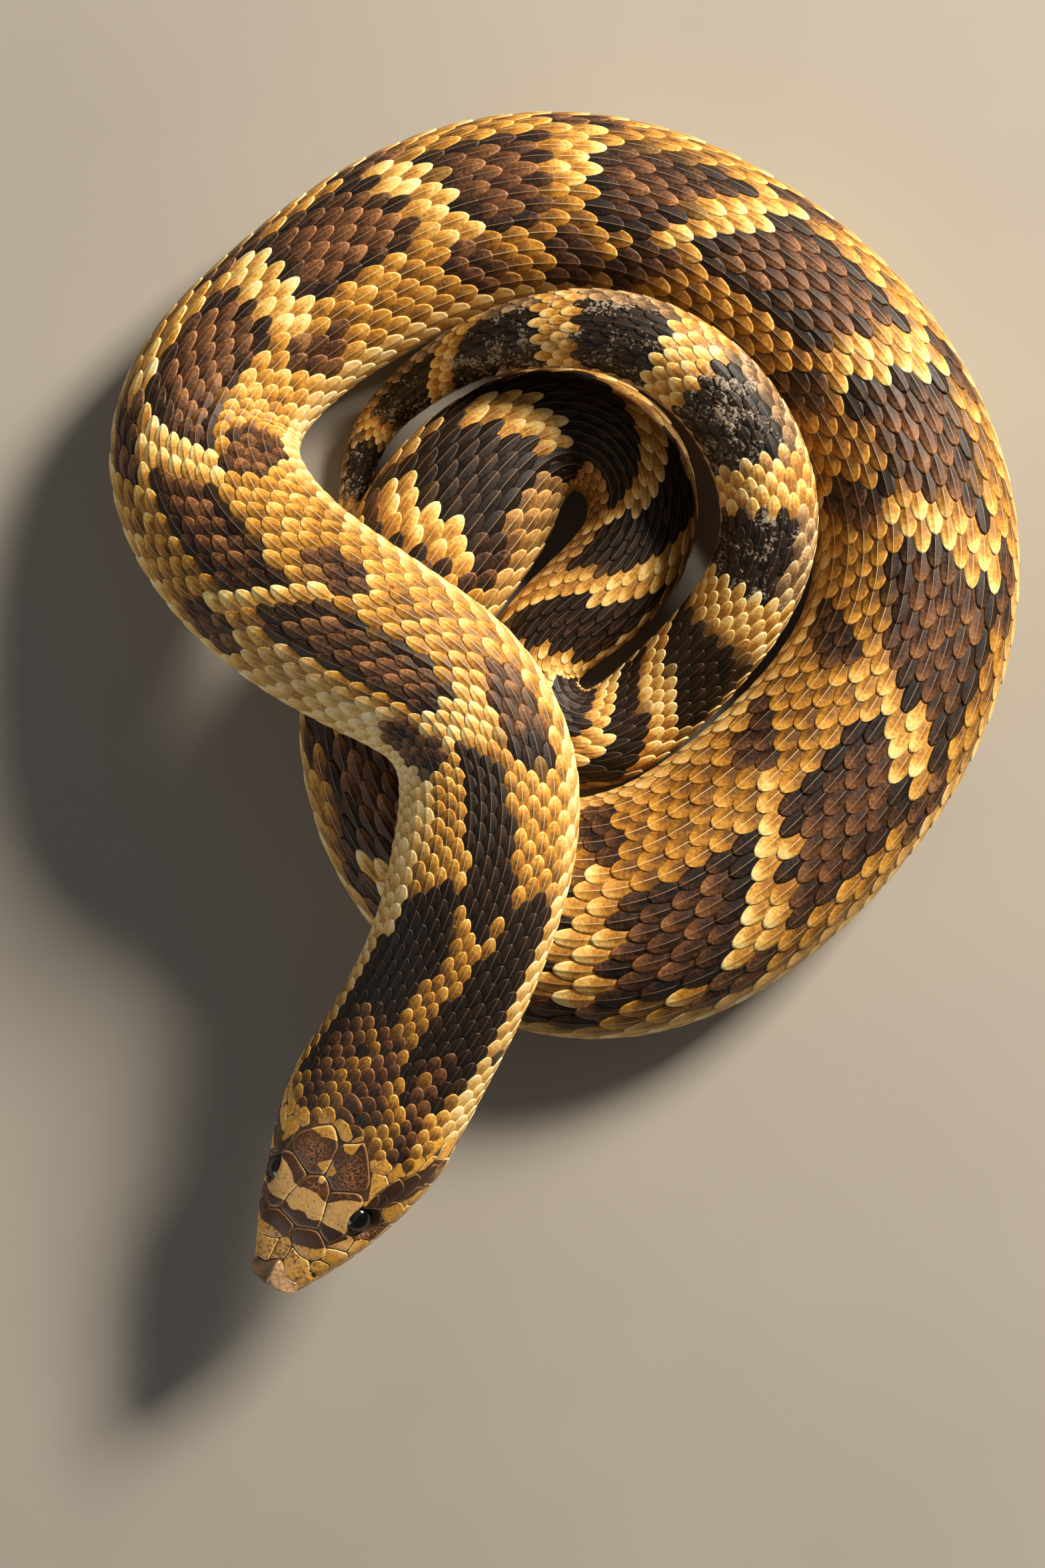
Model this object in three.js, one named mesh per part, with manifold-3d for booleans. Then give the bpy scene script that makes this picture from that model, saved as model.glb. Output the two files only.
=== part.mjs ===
// A coiled eastern hognose snake (Heterodon platirhinos), life size, as a still museum model.
// Millimetres, +Z up. The coil lies on the floor at z = 0, and the neck crosses over it.
import * as THREE from 'three';
import Module from 'manifold-3d';
import { mergeVertices } from 'three/addons/utils/BufferGeometryUtils.js';

// --- Driving dimensions -------------------------------------------------------------------------

const JOINT_GAP = 0.3;          // thin cut between two lengths of the body
const BODY_SIDES = 16;          // facets round a section of the body
const HEAD_SIDES = 19;          // points round each half of a section of the head
const LONGEST_STEP = 6.5;       // between two sections on a straight stretch
const SHORTEST_STEP = 2.4;      // between two sections in a tight bend
const STEP_PER_RADIUS = 0.22;   // a bend's sections stand this part of its radius apart

const HEAD_LENGTH = 35.5;       // tip of the snout to the corner of the jaw
const JAW_LENGTH = 33.2;        // the lower jaw ends behind the upturned snout
const HEAD_STEP = 2.0;          // between two sections of the head
const HEAD_ROLL = 15 * Math.PI / 180;   // the left side of the head is held higher
const ROLL_FADE = 42;           // the roll has died out this far behind the jaw

const NECK_END = 66;            // lengths along the spine, from the corner of the jaw
const TAIL_START = 602;         // the vent, where the tail begins
const NECK_PIECES = 2;
const TRUNK_PIECES = 12;
const TAIL_PIECES = 4;

const EYE_DIAMETER = 4.8;
const EYE_AHEAD = 18.0;         // ahead of the jaw corner
const EYE_OUT = 7.1;            // from the middle line of the head
const EYE_UP = 2.6;             // over the axis of the head
const ORBIT_DEPTH = 1.6;        // the sides of the head are hollowed this far round the eyes
const ORBIT_LENGTH = 6.5;       // reach of that hollow along the head, each way
const ORBIT_HEIGHT = 1.7;       // and up and down
const ORBIT_UP = 3.0;           // its middle, over the axis of the head

const OUTLINE_MIDDLE = [6.73, 14.93];   // middle of the coil's outline, set over the origin

// The way the spine goes, from the snout to the tip of the tail, as the control points of a
// uniform cubic B-spline. Each row is x, y, z, the body's width and its height.
const ROUTE = [
  // head, held out level over the floor
  [-39.5, -79.5, 22.0, 28.5, 17.5],
  [-35.0, -72.0, 23.0, 28.5, 17.5],
  [-30.5, -64.5, 24.0, 28.5, 17.5],
  [-26.0, -56.5, 25.5, 28.5, 17.5],
  [-21.5, -49.0, 27.5, 28.5, 17.5],
  // neck, climbing over the bottom of the ring
  [-17.0, -41.0, 30.5, 28.0, 18.0],
  [-12.5, -33.0, 33.0, 27.5, 18.0],
  [-9.0, -24.5, 35.5, 27.5, 19.0],
  [-6.5, -16.0, 36.5, 28.5, 20.0],
  [-4.5, -5.0, 36.5, 28.5, 20.5],
  // over the left of the ring and down to the floor
  [-6.0, 5.0, 37.0, 27.5, 20.5],
  [-11.5, 13.0, 37.5, 27.5, 21.5],
  [-20.0, 18.0, 37.5, 29.0, 22.5],
  [-30.0, 24.0, 35.5, 30.5, 23.5],
  [-37.0, 29.5, 31.5, 30.5, 24.0],
  [-44.0, 36.5, 25.5, 31.0, 25.0],
  [-50.0, 46.0, 18.5, 31.0, 25.5],
  // the outer ring, clockwise on the floor
  [-52.0, 55.0, 14.0, 31.0, 26.0],
  [-49.5, 65.0, 13.0, 30.0, 26.0],
  [-39.5, 75.5, 13.0, 29.0, 25.5],
  [-25.5, 86.0, 13.0, 31.5, 27.0],
  [-6.0, 95.0, 13.5, 32.5, 28.0],
  [18.0, 95.0, 13.5, 31.5, 27.0],
  [38.5, 83.0, 13.5, 32.5, 28.0],
  [55.0, 67.0, 13.5, 33.0, 28.5],
  [65.0, 44.5, 13.5, 33.0, 27.5],
  [62.5, 21.0, 13.5, 34.0, 27.5],
  [48.4, -0.2, 13.5, 38.0, 28.5],
  [24.4, -20.5, 13.5, 40.2, 29.0],
  [2.3, -22.2, 12.5, 38.6, 26.0],
  // under the neck, pressed down a little
  [-12.5, -12.0, 11.5, 33.0, 24.5],
  [-20.5, 0.0, 12.0, 30.0, 24.5],
  [-24.0, 13.5, 12.0, 25.5, 24.5],
  [-20.5, 26.0, 12.0, 25.5, 24.5],
  // the inner loop, clockwise on the floor
  [-15.3, 37.4, 12.0, 29.0, 26.0],
  [-7.9, 48.0, 12.0, 29.6, 24.5],
  [-1.1, 56.5, 11.0, 23.4, 22.5],
  [8.0, 60.1, 9.5, 20.8, 20.0],
  [16.8, 56.4, 9.0, 18.8, 18.5],
  [20.5, 47.5, 8.5, 18.0, 18.0],
  [18.5, 38.5, 9.0, 18.5, 18.5],
  [11.5, 31.0, 9.0, 19.0, 18.5],
  // the sharp turn back
  [4.5, 26.0, 8.5, 17.0, 17.0],
  [0.5, 20.0, 8.0, 16.5, 16.5],
  [1.5, 13.0, 8.0, 16.5, 16.5],
  [6.5, 8.5, 8.0, 16.5, 16.5],
  [12.5, 8.0, 8.0, 16.5, 16.0],
  // the tail, counterclockwise in the groove between the ring and the loop
  [18.5, 11.5, 8.0, 16.5, 16.0],
  [24.5, 17.0, 10.0, 16.5, 16.0],
  [32.5, 24.5, 16.5, 16.0, 16.0],
  [40.0, 36.0, 23.0, 16.0, 15.5],
  [39.0, 50.5, 26.0, 16.0, 15.5],
  [29.5, 64.5, 29.0, 15.5, 15.0],
  [14.5, 72.0, 29.0, 14.0, 13.5],
  [1.0, 72.0, 24.5, 12.0, 12.0],
  [-8.5, 70.5, 18.0, 10.0, 10.0],
  [-18.5, 66.0, 9.0, 8.5, 8.5],
  [-25.5, 60.0, 3.5, 7.0, 7.0],
  [-28.5, 49.0, 2.2, 5.5, 5.0],
  [-28.5, 39.0, 1.2, 3.0, 3.0],
  [-28.5, 33.0, 0.7, 1.6, 1.6],
];

// Outline of the head in its own frame: distance ahead of the jaw corner, half width, height of
// the crown over the axis, depth of the chin below it, and where the line of the mouth runs.
const HEAD_OUTLINE = [
  [0.0, 14.4, 8.75, 8.75, -3.6],
  [5.0, 14.5, 8.0, 8.0, -3.5],
  [10.0, 13.8, 7.2, 7.3, -3.3],
  [15.0, 12.5, 6.2, 6.7, -3.0],
  [19.5, 11.0, 5.4, 6.1, -2.8],
  [24.0, 9.2, 4.5, 5.3, -2.6],
  [28.0, 7.2, 3.4, 4.4, -2.3],
  [31.5, 5.4, 2.6, 3.4, -2.1],
  [34.0, 3.9, 2.3, 2.7, -1.9],
  [35.5, 1.8, 2.0, 2.2, -1.8],
];
const CROWN_SQUARENESS = 0.25;  // how much flatter the head's top is than an ellipse
const BELLY_SQUARENESS = 0.2;   // and the belly of the body

// --- The spine ----------------------------------------------------------------------------------

const STEPS_PER_POINT = 40;

function splinePoint(rows, u) {
  const i = Math.min(Math.floor(u), rows.length - 2);
  const t = u - i;
  const weights = [(1 - t) ** 3, 3 * t ** 3 - 6 * t ** 2 + 4, -3 * t ** 3 + 3 * t ** 2 + 3 * t + 1, t ** 3];
  const first = rows[0].map((value, k) => 2 * value - rows[1][k]);
  const last = rows.at(-1).map((value, k) => 2 * value - rows.at(-2)[k]);
  const around = [rows[i - 1] ?? first, rows[i], rows[i + 1], rows[i + 2] ?? last];
  return rows[0].map((_, k) => around.reduce((sum, row, n) => sum + weights[n] * row[k], 0) / 6);
}

// The spine as a fine chain of stations, each with its distance from the jaw corner.
const spine = [];
for (let n = 0; n <= (ROUTE.length - 1) * STEPS_PER_POINT; n += 1) {
  const [x, y, z, width, height] = splinePoint(ROUTE, n / STEPS_PER_POINT);
  const point = new THREE.Vector3(x, y, z);
  const run = n === 0 ? -HEAD_LENGTH : spine[n - 1].run + point.distanceTo(spine[n - 1].point);
  spine.push({ point, run, width, height });
}
const BODY_LENGTH = spine.at(-1).run;

spine.forEach((station, n) => {
  const before = spine[Math.max(n - 1, 0)].point;
  const after = spine[Math.min(n + 1, spine.length - 1)].point;
  station.forward = after.clone().sub(before).normalize();
});

function stationAt(run) {
  let low = 0;
  let high = spine.length - 1;
  while (high - low > 1) {
    const middle = (low + high) >> 1;
    if (spine[middle].run > run) high = middle;
    else low = middle;
  }
  const t = (run - spine[low].run) / (spine[high].run - spine[low].run);
  const forward = spine[low].forward.clone().lerp(spine[high].forward, t).normalize();
  const side = forward.clone().cross(new THREE.Vector3(0, 0, 1)).normalize();
  const up = side.clone().cross(forward);
  const roll = HEAD_ROLL * (1 - THREE.MathUtils.smoothstep(run, 0, ROLL_FADE));
  side.applyAxisAngle(forward, -roll);
  up.applyAxisAngle(forward, -roll);
  return {
    point: spine[low].point.clone().lerp(spine[high].point, t),
    halfWidth: THREE.MathUtils.lerp(spine[low].width, spine[high].width, t) / 2,
    halfHeight: THREE.MathUtils.lerp(spine[low].height, spine[high].height, t) / 2,
    forward, side, up,
  };
}

function bendRadius(run) {
  const span = 3;
  const turn = stationAt(run - span).forward.angleTo(stationAt(run + span).forward);
  return 2 * span / Math.max(turn, 0.001);
}

function signedPower(value, power) {
  return Math.sign(value) * Math.abs(value) ** power;
}

function placed(station, across, upward) {
  const point = station.point.clone();
  point.addScaledVector(station.side, across);
  point.addScaledVector(station.up, upward);
  point.z = Math.max(point.z, 0);   // what would sink into the floor is pressed flat on it
  return point;
}

// --- Solids -------------------------------------------------------------------------------------

// A closed solid through rings of points, each ring closed by a fan at the ends.
function loft(rings) {
  const sides = rings[0].length;
  const points = rings.flat();
  const faces = [];
  for (let i = 0; i + 1 < rings.length; i += 1) {
    for (let j = 0; j < sides; j += 1) {
      const a = i * sides + j;
      const b = i * sides + (j + 1) % sides;
      faces.push(a, a + sides, b, b, a + sides, b + sides);
    }
  }
  for (const end of [0, rings.length - 1]) {
    const centre = new THREE.Vector3();
    rings[end].forEach((point) => centre.addScaledVector(point, 1 / sides));
    points.push(centre);
    for (let j = 0; j < sides; j += 1) {
      const a = end * sides + j;
      const b = end * sides + (j + 1) % sides;
      faces.push(points.length - 1, end === 0 ? a : b, end === 0 ? b : a);
    }
  }
  const geometry = new THREE.BufferGeometry().setFromPoints(points);
  geometry.setIndex(faces);
  return geometry;
}

// Half a side's turn puts a flat, not a corner, at the bottom of the belly.
function bodyRing(run) {
  const station = stationAt(run);
  return Array.from({ length: BODY_SIDES }, (_, j) => {
    const angle = 2 * Math.PI * (j + 0.5) / BODY_SIDES;
    const fullness = Math.sin(angle) < 0 ? 1 - BELLY_SQUARENESS : 1;
    return placed(
      station,
      station.halfWidth * signedPower(Math.cos(angle), fullness),
      station.halfHeight * signedPower(Math.sin(angle), fullness),
    );
  });
}

function bodyLength(start, end) {
  const runs = [start];
  while (runs.at(-1) < end) {
    const wanted = STEP_PER_RADIUS * bendRadius(runs.at(-1));
    runs.push(runs.at(-1) + THREE.MathUtils.clamp(wanted, SHORTEST_STEP, LONGEST_STEP));
  }
  const scale = (end - start) / (runs.at(-1) - start);
  return loft(runs.map((run) => bodyRing(start + (run - start) * scale)));
}

function headOutline(ahead) {
  const after = HEAD_OUTLINE.findIndex((row) => row[0] >= ahead - 1e-9);
  const high = HEAD_OUTLINE[Math.max(after, 1)];
  const low = HEAD_OUTLINE[Math.max(after, 1) - 1];
  const t = (ahead - low[0]) / (high[0] - low[0]);
  const [, halfWidth, crown, chin, mouth] = low.map((value, k) => value + t * (high[k] - value));
  return { halfWidth, crown, chin, mouth };
}

// One ring of the head, from one corner of the mouth to the other: over the crown (part 1) or
// under the chin (part -1). The flat between its ends is the face at the mouth.
function headRing(ahead, part) {
  const station = stationAt(-ahead);
  const { halfWidth, crown, chin, mouth } = headOutline(ahead);
  const fullness = 1 - CROWN_SQUARENESS;
  const depth = -(mouth + part * JOINT_GAP / 2) / chin;
  const corner = Math.asin(depth ** (1 / fullness));
  const start = part > 0 ? -corner : Math.PI + corner;
  const sweep = Math.PI + part * 2 * corner;
  return Array.from({ length: HEAD_SIDES }, (_, j) => {
    const angle = start + sweep * j / (HEAD_SIDES - 1);
    const lift = signedPower(Math.sin(angle), fullness);
    const upward = lift * (lift > 0 ? crown : chin);
    const hollow = ORBIT_DEPTH * Math.exp(
      -(((ahead - EYE_AHEAD) / ORBIT_LENGTH) ** 2) - ((upward - ORBIT_UP) / ORBIT_HEIGHT) ** 2,
    );
    return placed(station, (halfWidth - hollow) * signedPower(Math.cos(angle), fullness), upward);
  });
}

function headHalf(part, tip) {
  const count = Math.round(tip / HEAD_STEP);
  const rings = [];
  for (let n = 0; n <= count; n += 1) {
    rings.push(headRing(THREE.MathUtils.lerp(tip, JOINT_GAP / 2, n / count), part));
  }
  return loft(rings);
}

// --- Eyes and their sockets ---------------------------------------------------------------------

const wasm = await Module();
wasm.setup();

function toManifold(geometry) {
  const bare = geometry.clone();
  bare.deleteAttribute('normal');
  bare.deleteAttribute('uv');
  const merged = mergeVertices(bare);
  const mesh = new wasm.Mesh({
    numProp: 3,
    vertProperties: new Float32Array(merged.attributes.position.array),
    triVerts: new Uint32Array(merged.index.array),
  });
  return new wasm.Manifold(mesh);
}

function toGeometry(solid) {
  const mesh = solid.getMesh();
  const geometry = new THREE.BufferGeometry();
  geometry.setAttribute('position', new THREE.BufferAttribute(mesh.vertProperties, 3));
  geometry.setIndex(new THREE.BufferAttribute(mesh.triVerts, 1));
  return geometry;
}

function eyeball(sideSign, diameter) {
  const station = stationAt(-EYE_AHEAD);
  const centre = placed(station, sideSign * EYE_OUT, EYE_UP);
  const ball = new THREE.IcosahedronGeometry(diameter / 2, 2);
  ball.translate(centre.x, centre.y, centre.z);
  return ball;
}

let upperHead = toManifold(headHalf(1, HEAD_LENGTH));
for (const sideSign of [-1, 1]) {
  upperHead = upperHead.subtract(toManifold(eyeball(sideSign, EYE_DIAMETER + 2 * JOINT_GAP)));
}

// --- The model ----------------------------------------------------------------------------------

const skinColours = { head: '#8d6738', jaw: '#c99a4a', neck: '#9c7138', trunk: '#a5742f', tail: '#7a6552' };

function skinMaterial(place) {
  return new THREE.MeshStandardMaterial({ color: skinColours[place], roughness: 0.5, metalness: 0 });
}

const eyeMaterial = new THREE.MeshStandardMaterial({ color: '#17110d', roughness: 0.08, metalness: 0 });

const snake = new THREE.Group();
snake.position.set(-OUTLINE_MIDDLE[0], -OUTLINE_MIDDLE[1], 0);

function addNode(name, geometry, material) {
  const mesh = new THREE.Mesh(geometry, material);
  mesh.name = name;
  snake.add(mesh);
}

function addLengths(place, count, start, end) {
  for (let n = 0; n < count; n += 1) {
    const from = start + (end - start) * n / count + JOINT_GAP / 2;
    const to = start + (end - start) * (n + 1) / count - JOINT_GAP / 2;
    addNode(`${place}_${String(n + 1).padStart(2, '0')}`, bodyLength(from, to), skinMaterial(place));
  }
}

addNode('head', toGeometry(upperHead), skinMaterial('head'));
addNode('lower_jaw', headHalf(-1, JAW_LENGTH), skinMaterial('jaw'));
addNode('eye_left', eyeball(1, EYE_DIAMETER), eyeMaterial);
addNode('eye_right', eyeball(-1, EYE_DIAMETER), eyeMaterial);
addLengths('neck', NECK_PIECES, 0, NECK_END);
addLengths('trunk', TRUNK_PIECES, NECK_END, TAIL_START);
addLengths('tail', TAIL_PIECES, TAIL_START, BODY_LENGTH + JOINT_GAP / 2);

export default snake;
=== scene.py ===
import math
from functools import partial

import bpy
import numpy as np
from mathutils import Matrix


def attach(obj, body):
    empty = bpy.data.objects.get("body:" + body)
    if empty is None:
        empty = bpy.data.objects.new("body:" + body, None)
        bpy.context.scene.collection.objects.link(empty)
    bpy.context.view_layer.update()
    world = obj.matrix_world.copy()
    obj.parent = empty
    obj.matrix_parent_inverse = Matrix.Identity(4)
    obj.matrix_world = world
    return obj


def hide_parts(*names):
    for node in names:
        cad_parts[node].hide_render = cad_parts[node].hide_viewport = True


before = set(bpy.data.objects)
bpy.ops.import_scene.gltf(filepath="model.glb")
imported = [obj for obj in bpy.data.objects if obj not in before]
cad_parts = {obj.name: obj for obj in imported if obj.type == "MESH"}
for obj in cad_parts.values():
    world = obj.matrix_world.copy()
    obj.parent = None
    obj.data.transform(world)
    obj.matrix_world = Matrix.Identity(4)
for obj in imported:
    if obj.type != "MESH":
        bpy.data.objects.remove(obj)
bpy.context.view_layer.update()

# --- Camera, floor and light ---------------------------------------------------------------------
# The snake lies on a plain pale table top, seen from almost straight above through a long lens.
# A warm key light stands high at the upper right, and a weak one fills from low at the left.

camera_data = bpy.data.cameras.new("camera")
camera_data.sensor_fit = "VERTICAL"
camera_data.sensor_height = 36.0
camera_data.lens = 85.0
camera_data.clip_start = 0.01
camera = bpy.data.objects.new("camera", camera_data)
bpy.context.scene.collection.objects.link(camera)
camera_tilt = math.radians(6.0)  # from straight down
camera_distance = 0.5889
camera_target = (-0.00673, -0.01493, 0.018)
camera.location = (
    camera_target[0],
    camera_target[1] - camera_distance * math.sin(camera_tilt),
    camera_target[2] + camera_distance * math.cos(camera_tilt),
)
camera.rotation_euler = (camera_tilt, 0.0, 0.0)
bpy.context.scene.camera = camera


def linear(hex_colour):
    """The linear value of an sRGB colour: each byte over 255, then the sRGB curve undone."""
    parts = np.array([int(hex_colour[k : k + 2], 16) for k in (1, 3, 5)]) / 255
    low = parts / 12.92
    high = ((parts + 0.055) / 1.055) ** 2.4
    return (*np.where(parts <= 0.04045, low, high).tolist(), 1.0)


def add_node(tree, kind, out=0, stops=(), **settings):
    """Adds a node and returns one of its outputs. Settings are its properties, or its inputs by
    name or by number (_6), each a value or the socket that feeds it. Stops are the places and
    colours of a colour ramp, from low to high."""
    node = tree.nodes.new(kind)
    for place, colour in stops[:1] + stops[-1:] + stops[1:-1]:
        ramp = node.color_ramp.elements
        element = ramp[0] if place == stops[0][0] else ramp[-1] if place == stops[-1][0] else ramp.new(place)
        element.position, element.color = place, linear(colour)
    for name, value in settings.items():
        key = name.replace("_", " ")
        if hasattr(node, name):
            setattr(node, name, value)
            continue
        target = node.inputs[key] if key in node.inputs else node.inputs[int(name[1:])]
        if isinstance(value, bpy.types.NodeSocket):
            tree.links.new(value, target)
        else:
            target.default_value = value
    return node.outputs[out]


def new_material(name):
    """An empty material with only its output and a Principled shader."""
    material = bpy.data.materials.new(name)
    material.use_nodes = True
    tree = material.node_tree
    return material, tree, tree.nodes["Principled BSDF"]


table_half, table_level = 1.5, -1e-4
floor_mesh = bpy.data.meshes.new("table_top")
floor_mesh.from_pydata(
    [(x * table_half, y * table_half, table_level) for x, y in ((-1, -1), (1, -1), (1, 1), (-1, 1))],
    [],
    [(0, 1, 2, 3)],
)
floor = bpy.data.objects.new("table_top", floor_mesh)
bpy.context.scene.collection.objects.link(floor)
# Matt pale limewash on board: a faint cloudiness and no gloss.
limewash, tree, shader = new_material("matt_limewash")
place = add_node(tree, "ShaderNodeTexCoord", "Object")
cloud = add_node(tree, "ShaderNodeTexNoise", Vector=place, Scale=14.0, Detail=3.0)
tint = add_node(tree, "ShaderNodeValToRGB", Fac=cloud, stops=((0.0, "#8f8a82"), (1.0, "#9d9890")))
tree.links.new(tint, shader.inputs["Base Color"])
shader.inputs["Roughness"].default_value = 0.9
floor_mesh.materials.append(limewash)

world = bpy.data.worlds.new("studio")
world.use_nodes = True
world.node_tree.nodes["Background"].inputs["Color"].default_value = linear("#dfe4ea")
world.node_tree.nodes["Background"].inputs["Strength"].default_value = 0.16
bpy.context.scene.world = world
bpy.context.scene.view_settings.view_transform = "Standard"  # keeps warm colours full


def add_light(name, place, aim, size, watts, colour):
    """A square area light at a place, turned to face the aim."""
    data = bpy.data.lights.new(name, "AREA")
    data.size = size
    data.energy = watts
    data.color = linear(colour)[:3]
    light = bpy.data.objects.new(name, data)
    light.location = place
    away = np.array(place) - np.array(aim)
    flat = math.hypot(away[0], away[1])
    light.rotation_euler = (math.atan2(flat, away[2]), 0.0, math.atan2(away[0], -away[1]))
    bpy.context.scene.collection.objects.link(light)


add_light("key", (0.57, 0.49, 0.56), (0, 0, 0.02), 0.26, 21.5, "#fff3e0")
add_light("fill", (-0.8, -0.6, 0.26), (0, 0, 0.02), 0.5, 2.4, "#fdf8f0")

# --- Skin ----------------------------------------------------------------------------------------
# One unbroken skin over the flesh, from the snout to the tip of the tail. It is thin and soft,
# shows only in the gaps between scales, and lies a coat's depth inside the solids. Lengths from
# here on are in millimetres, and make_piece turns them into metres.

route = np.array([
    # head, held out level over the floor: x, y, z, width, height
    (-39.5, -79.5, 22.0, 28.5, 17.5), (-35.0, -72.0, 23.0, 28.5, 17.5),
    (-30.5, -64.5, 24.0, 28.5, 17.5), (-26.0, -56.5, 25.5, 28.5, 17.5),
    (-21.5, -49.0, 27.5, 28.5, 17.5),
    # neck, climbing over the bottom of the ring
    (-17.0, -41.0, 30.5, 28.0, 18.0), (-12.5, -33.0, 33.0, 27.5, 18.0),
    (-9.0, -24.5, 35.5, 27.5, 19.0), (-6.5, -16.0, 36.5, 28.5, 20.0),
    (-4.5, -5.0, 36.5, 28.5, 20.5),
    # over the left of the ring and down to the floor
    (-6.0, 5.0, 37.0, 27.5, 20.5), (-11.5, 13.0, 37.5, 27.5, 21.5),
    (-20.0, 18.0, 37.5, 29.0, 22.5), (-30.0, 24.0, 35.5, 30.5, 23.5),
    (-37.0, 29.5, 31.5, 30.5, 24.0), (-44.0, 36.5, 25.5, 31.0, 25.0),
    (-50.0, 46.0, 18.5, 31.0, 25.5),
    # the outer ring, clockwise on the floor
    (-52.0, 55.0, 14.0, 31.0, 26.0), (-49.5, 65.0, 13.0, 30.0, 26.0),
    (-39.5, 75.5, 13.0, 29.0, 25.5), (-25.5, 86.0, 13.0, 31.5, 27.0),
    (-6.0, 95.0, 13.5, 32.5, 28.0), (18.0, 95.0, 13.5, 31.5, 27.0),
    (38.5, 83.0, 13.5, 32.5, 28.0), (55.0, 67.0, 13.5, 33.0, 28.5),
    (65.0, 44.5, 13.5, 33.0, 27.5), (62.5, 21.0, 13.5, 34.0, 27.5),
    (48.4, -0.2, 13.5, 38.0, 28.5), (24.4, -20.5, 13.5, 40.2, 29.0),
    (2.3, -22.2, 12.5, 38.6, 26.0),
    # under the neck
    (-12.5, -12.0, 11.5, 33.0, 24.5), (-20.5, 0.0, 12.0, 30.0, 24.5),
    (-24.0, 13.5, 12.0, 25.5, 24.5), (-20.5, 26.0, 12.0, 25.5, 24.5),
    # the inner loop
    (-15.3, 37.4, 12.0, 29.0, 26.0), (-7.9, 48.0, 12.0, 29.6, 24.5),
    (-1.1, 56.5, 11.0, 23.4, 22.5), (8.0, 60.1, 9.5, 20.8, 20.0),
    (16.8, 56.4, 9.0, 18.8, 18.5), (20.5, 47.5, 8.5, 18.0, 18.0),
    (18.5, 38.5, 9.0, 18.5, 18.5), (11.5, 31.0, 9.0, 19.0, 18.5),
    # the tight turn at the middle
    (4.5, 26.0, 8.5, 17.0, 17.0), (0.5, 20.0, 8.0, 16.5, 16.5),
    (1.5, 13.0, 8.0, 16.5, 16.5), (6.5, 8.5, 8.0, 16.5, 16.5),
    (12.5, 8.0, 8.0, 16.5, 16.0),
    # the tail, climbing out over the loop and down on its far side
    (18.5, 11.5, 8.0, 16.5, 16.0), (24.5, 17.0, 10.0, 16.5, 16.0),
    (32.5, 24.5, 16.5, 16.0, 16.0), (40.0, 36.0, 23.0, 16.0, 15.5),
    (39.0, 50.5, 26.0, 16.0, 15.5), (29.5, 64.5, 29.0, 15.5, 15.0),
    (14.5, 72.0, 29.0, 14.0, 13.5), (1.0, 72.0, 24.5, 12.0, 12.0),
    (-8.5, 70.5, 18.0, 10.0, 10.0), (-18.5, 66.0, 9.0, 8.5, 8.5),
    (-25.5, 60.0, 3.5, 7.0, 7.0), (-28.5, 49.0, 2.2, 5.5, 5.0),
    (-28.5, 39.0, 1.2, 3.0, 3.0), (-28.5, 33.0, 0.7, 1.6, 1.6),
])
outline_middle = np.array([6.73, 14.93, 0.0])  # set at the frame's origin
head_length = 35.5             # ahead of the jaw corner, where runs are counted from
head_roll = math.radians(15.0)
roll_fade = 42.0               # run where the roll has died out
tail_start = 602.0             # run of the vent
coat_depth = 0.5

# Ahead of the jaw corner: half width, height of the crown, depth of the chin, the mouth line.
head_form = np.array([
    (-12.0, 14.3, 8.9, 8.9, -3.6), (0.0, 14.4, 8.75, 8.75, -3.6), (5.0, 14.5, 8.0, 8.0, -3.5),
    (10.0, 13.8, 7.2, 7.3, -3.3), (15.0, 12.5, 6.2, 6.7, -3.0), (19.5, 11.0, 5.4, 6.1, -2.8),
    (24.0, 9.2, 4.5, 5.3, -2.6), (28.0, 7.2, 3.4, 4.4, -2.3), (31.5, 5.4, 2.6, 3.4, -2.1),
    (34.0, 3.9, 2.3, 2.2, -1.9), (35.5, 1.8, 2.0, 1.85, -1.8),
])


def spine_stations(rows, steps=40):
    """A uniform cubic B-spline through the rows, whose ends are carried on in a straight line:
    each point blends four rows with the weights (1-t)^3, 3t^3-6t^2+4, -3t^3+3t^2+3t+1, t^3 over 6.
    Returns the distance run from the jaw corner, the blended rows and the direction of travel."""
    ends = np.vstack([2 * rows[0] - rows[1], rows, 2 * rows[-1] - rows[-2]])
    t = np.linspace(0, 1, steps, endpoint=False)[None, :, None]
    weights = ((1 - t) ** 3, 3 * t**3 - 6 * t**2 + 4, -3 * t**3 + 3 * t**2 + 3 * t + 1, t**3)
    blend = sum(w * ends[k : k + len(rows) - 1, None, :] for k, w in enumerate(weights)) / 6
    blend = np.vstack([blend.reshape(-1, rows.shape[1]), rows[-1:]])
    travel = np.gradient(blend[:, :3], axis=0)
    travel /= np.linalg.norm(travel, axis=1, keepdims=True)
    steps_run = np.linalg.norm(np.diff(blend[:, :3], axis=0), axis=1)
    return np.r_[0, np.cumsum(steps_run)] - head_length, blend, travel


spine_run, spine_rows, spine_travel = spine_stations(route)
body_end = spine_run[-1]


def smooth(low, high, value):
    """The smoothstep of a value between two limits: 3t^2 - 2t^3."""
    t = np.clip((value - low) / (high - low), 0, 1)
    return t * t * (3 - 2 * t)


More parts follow.
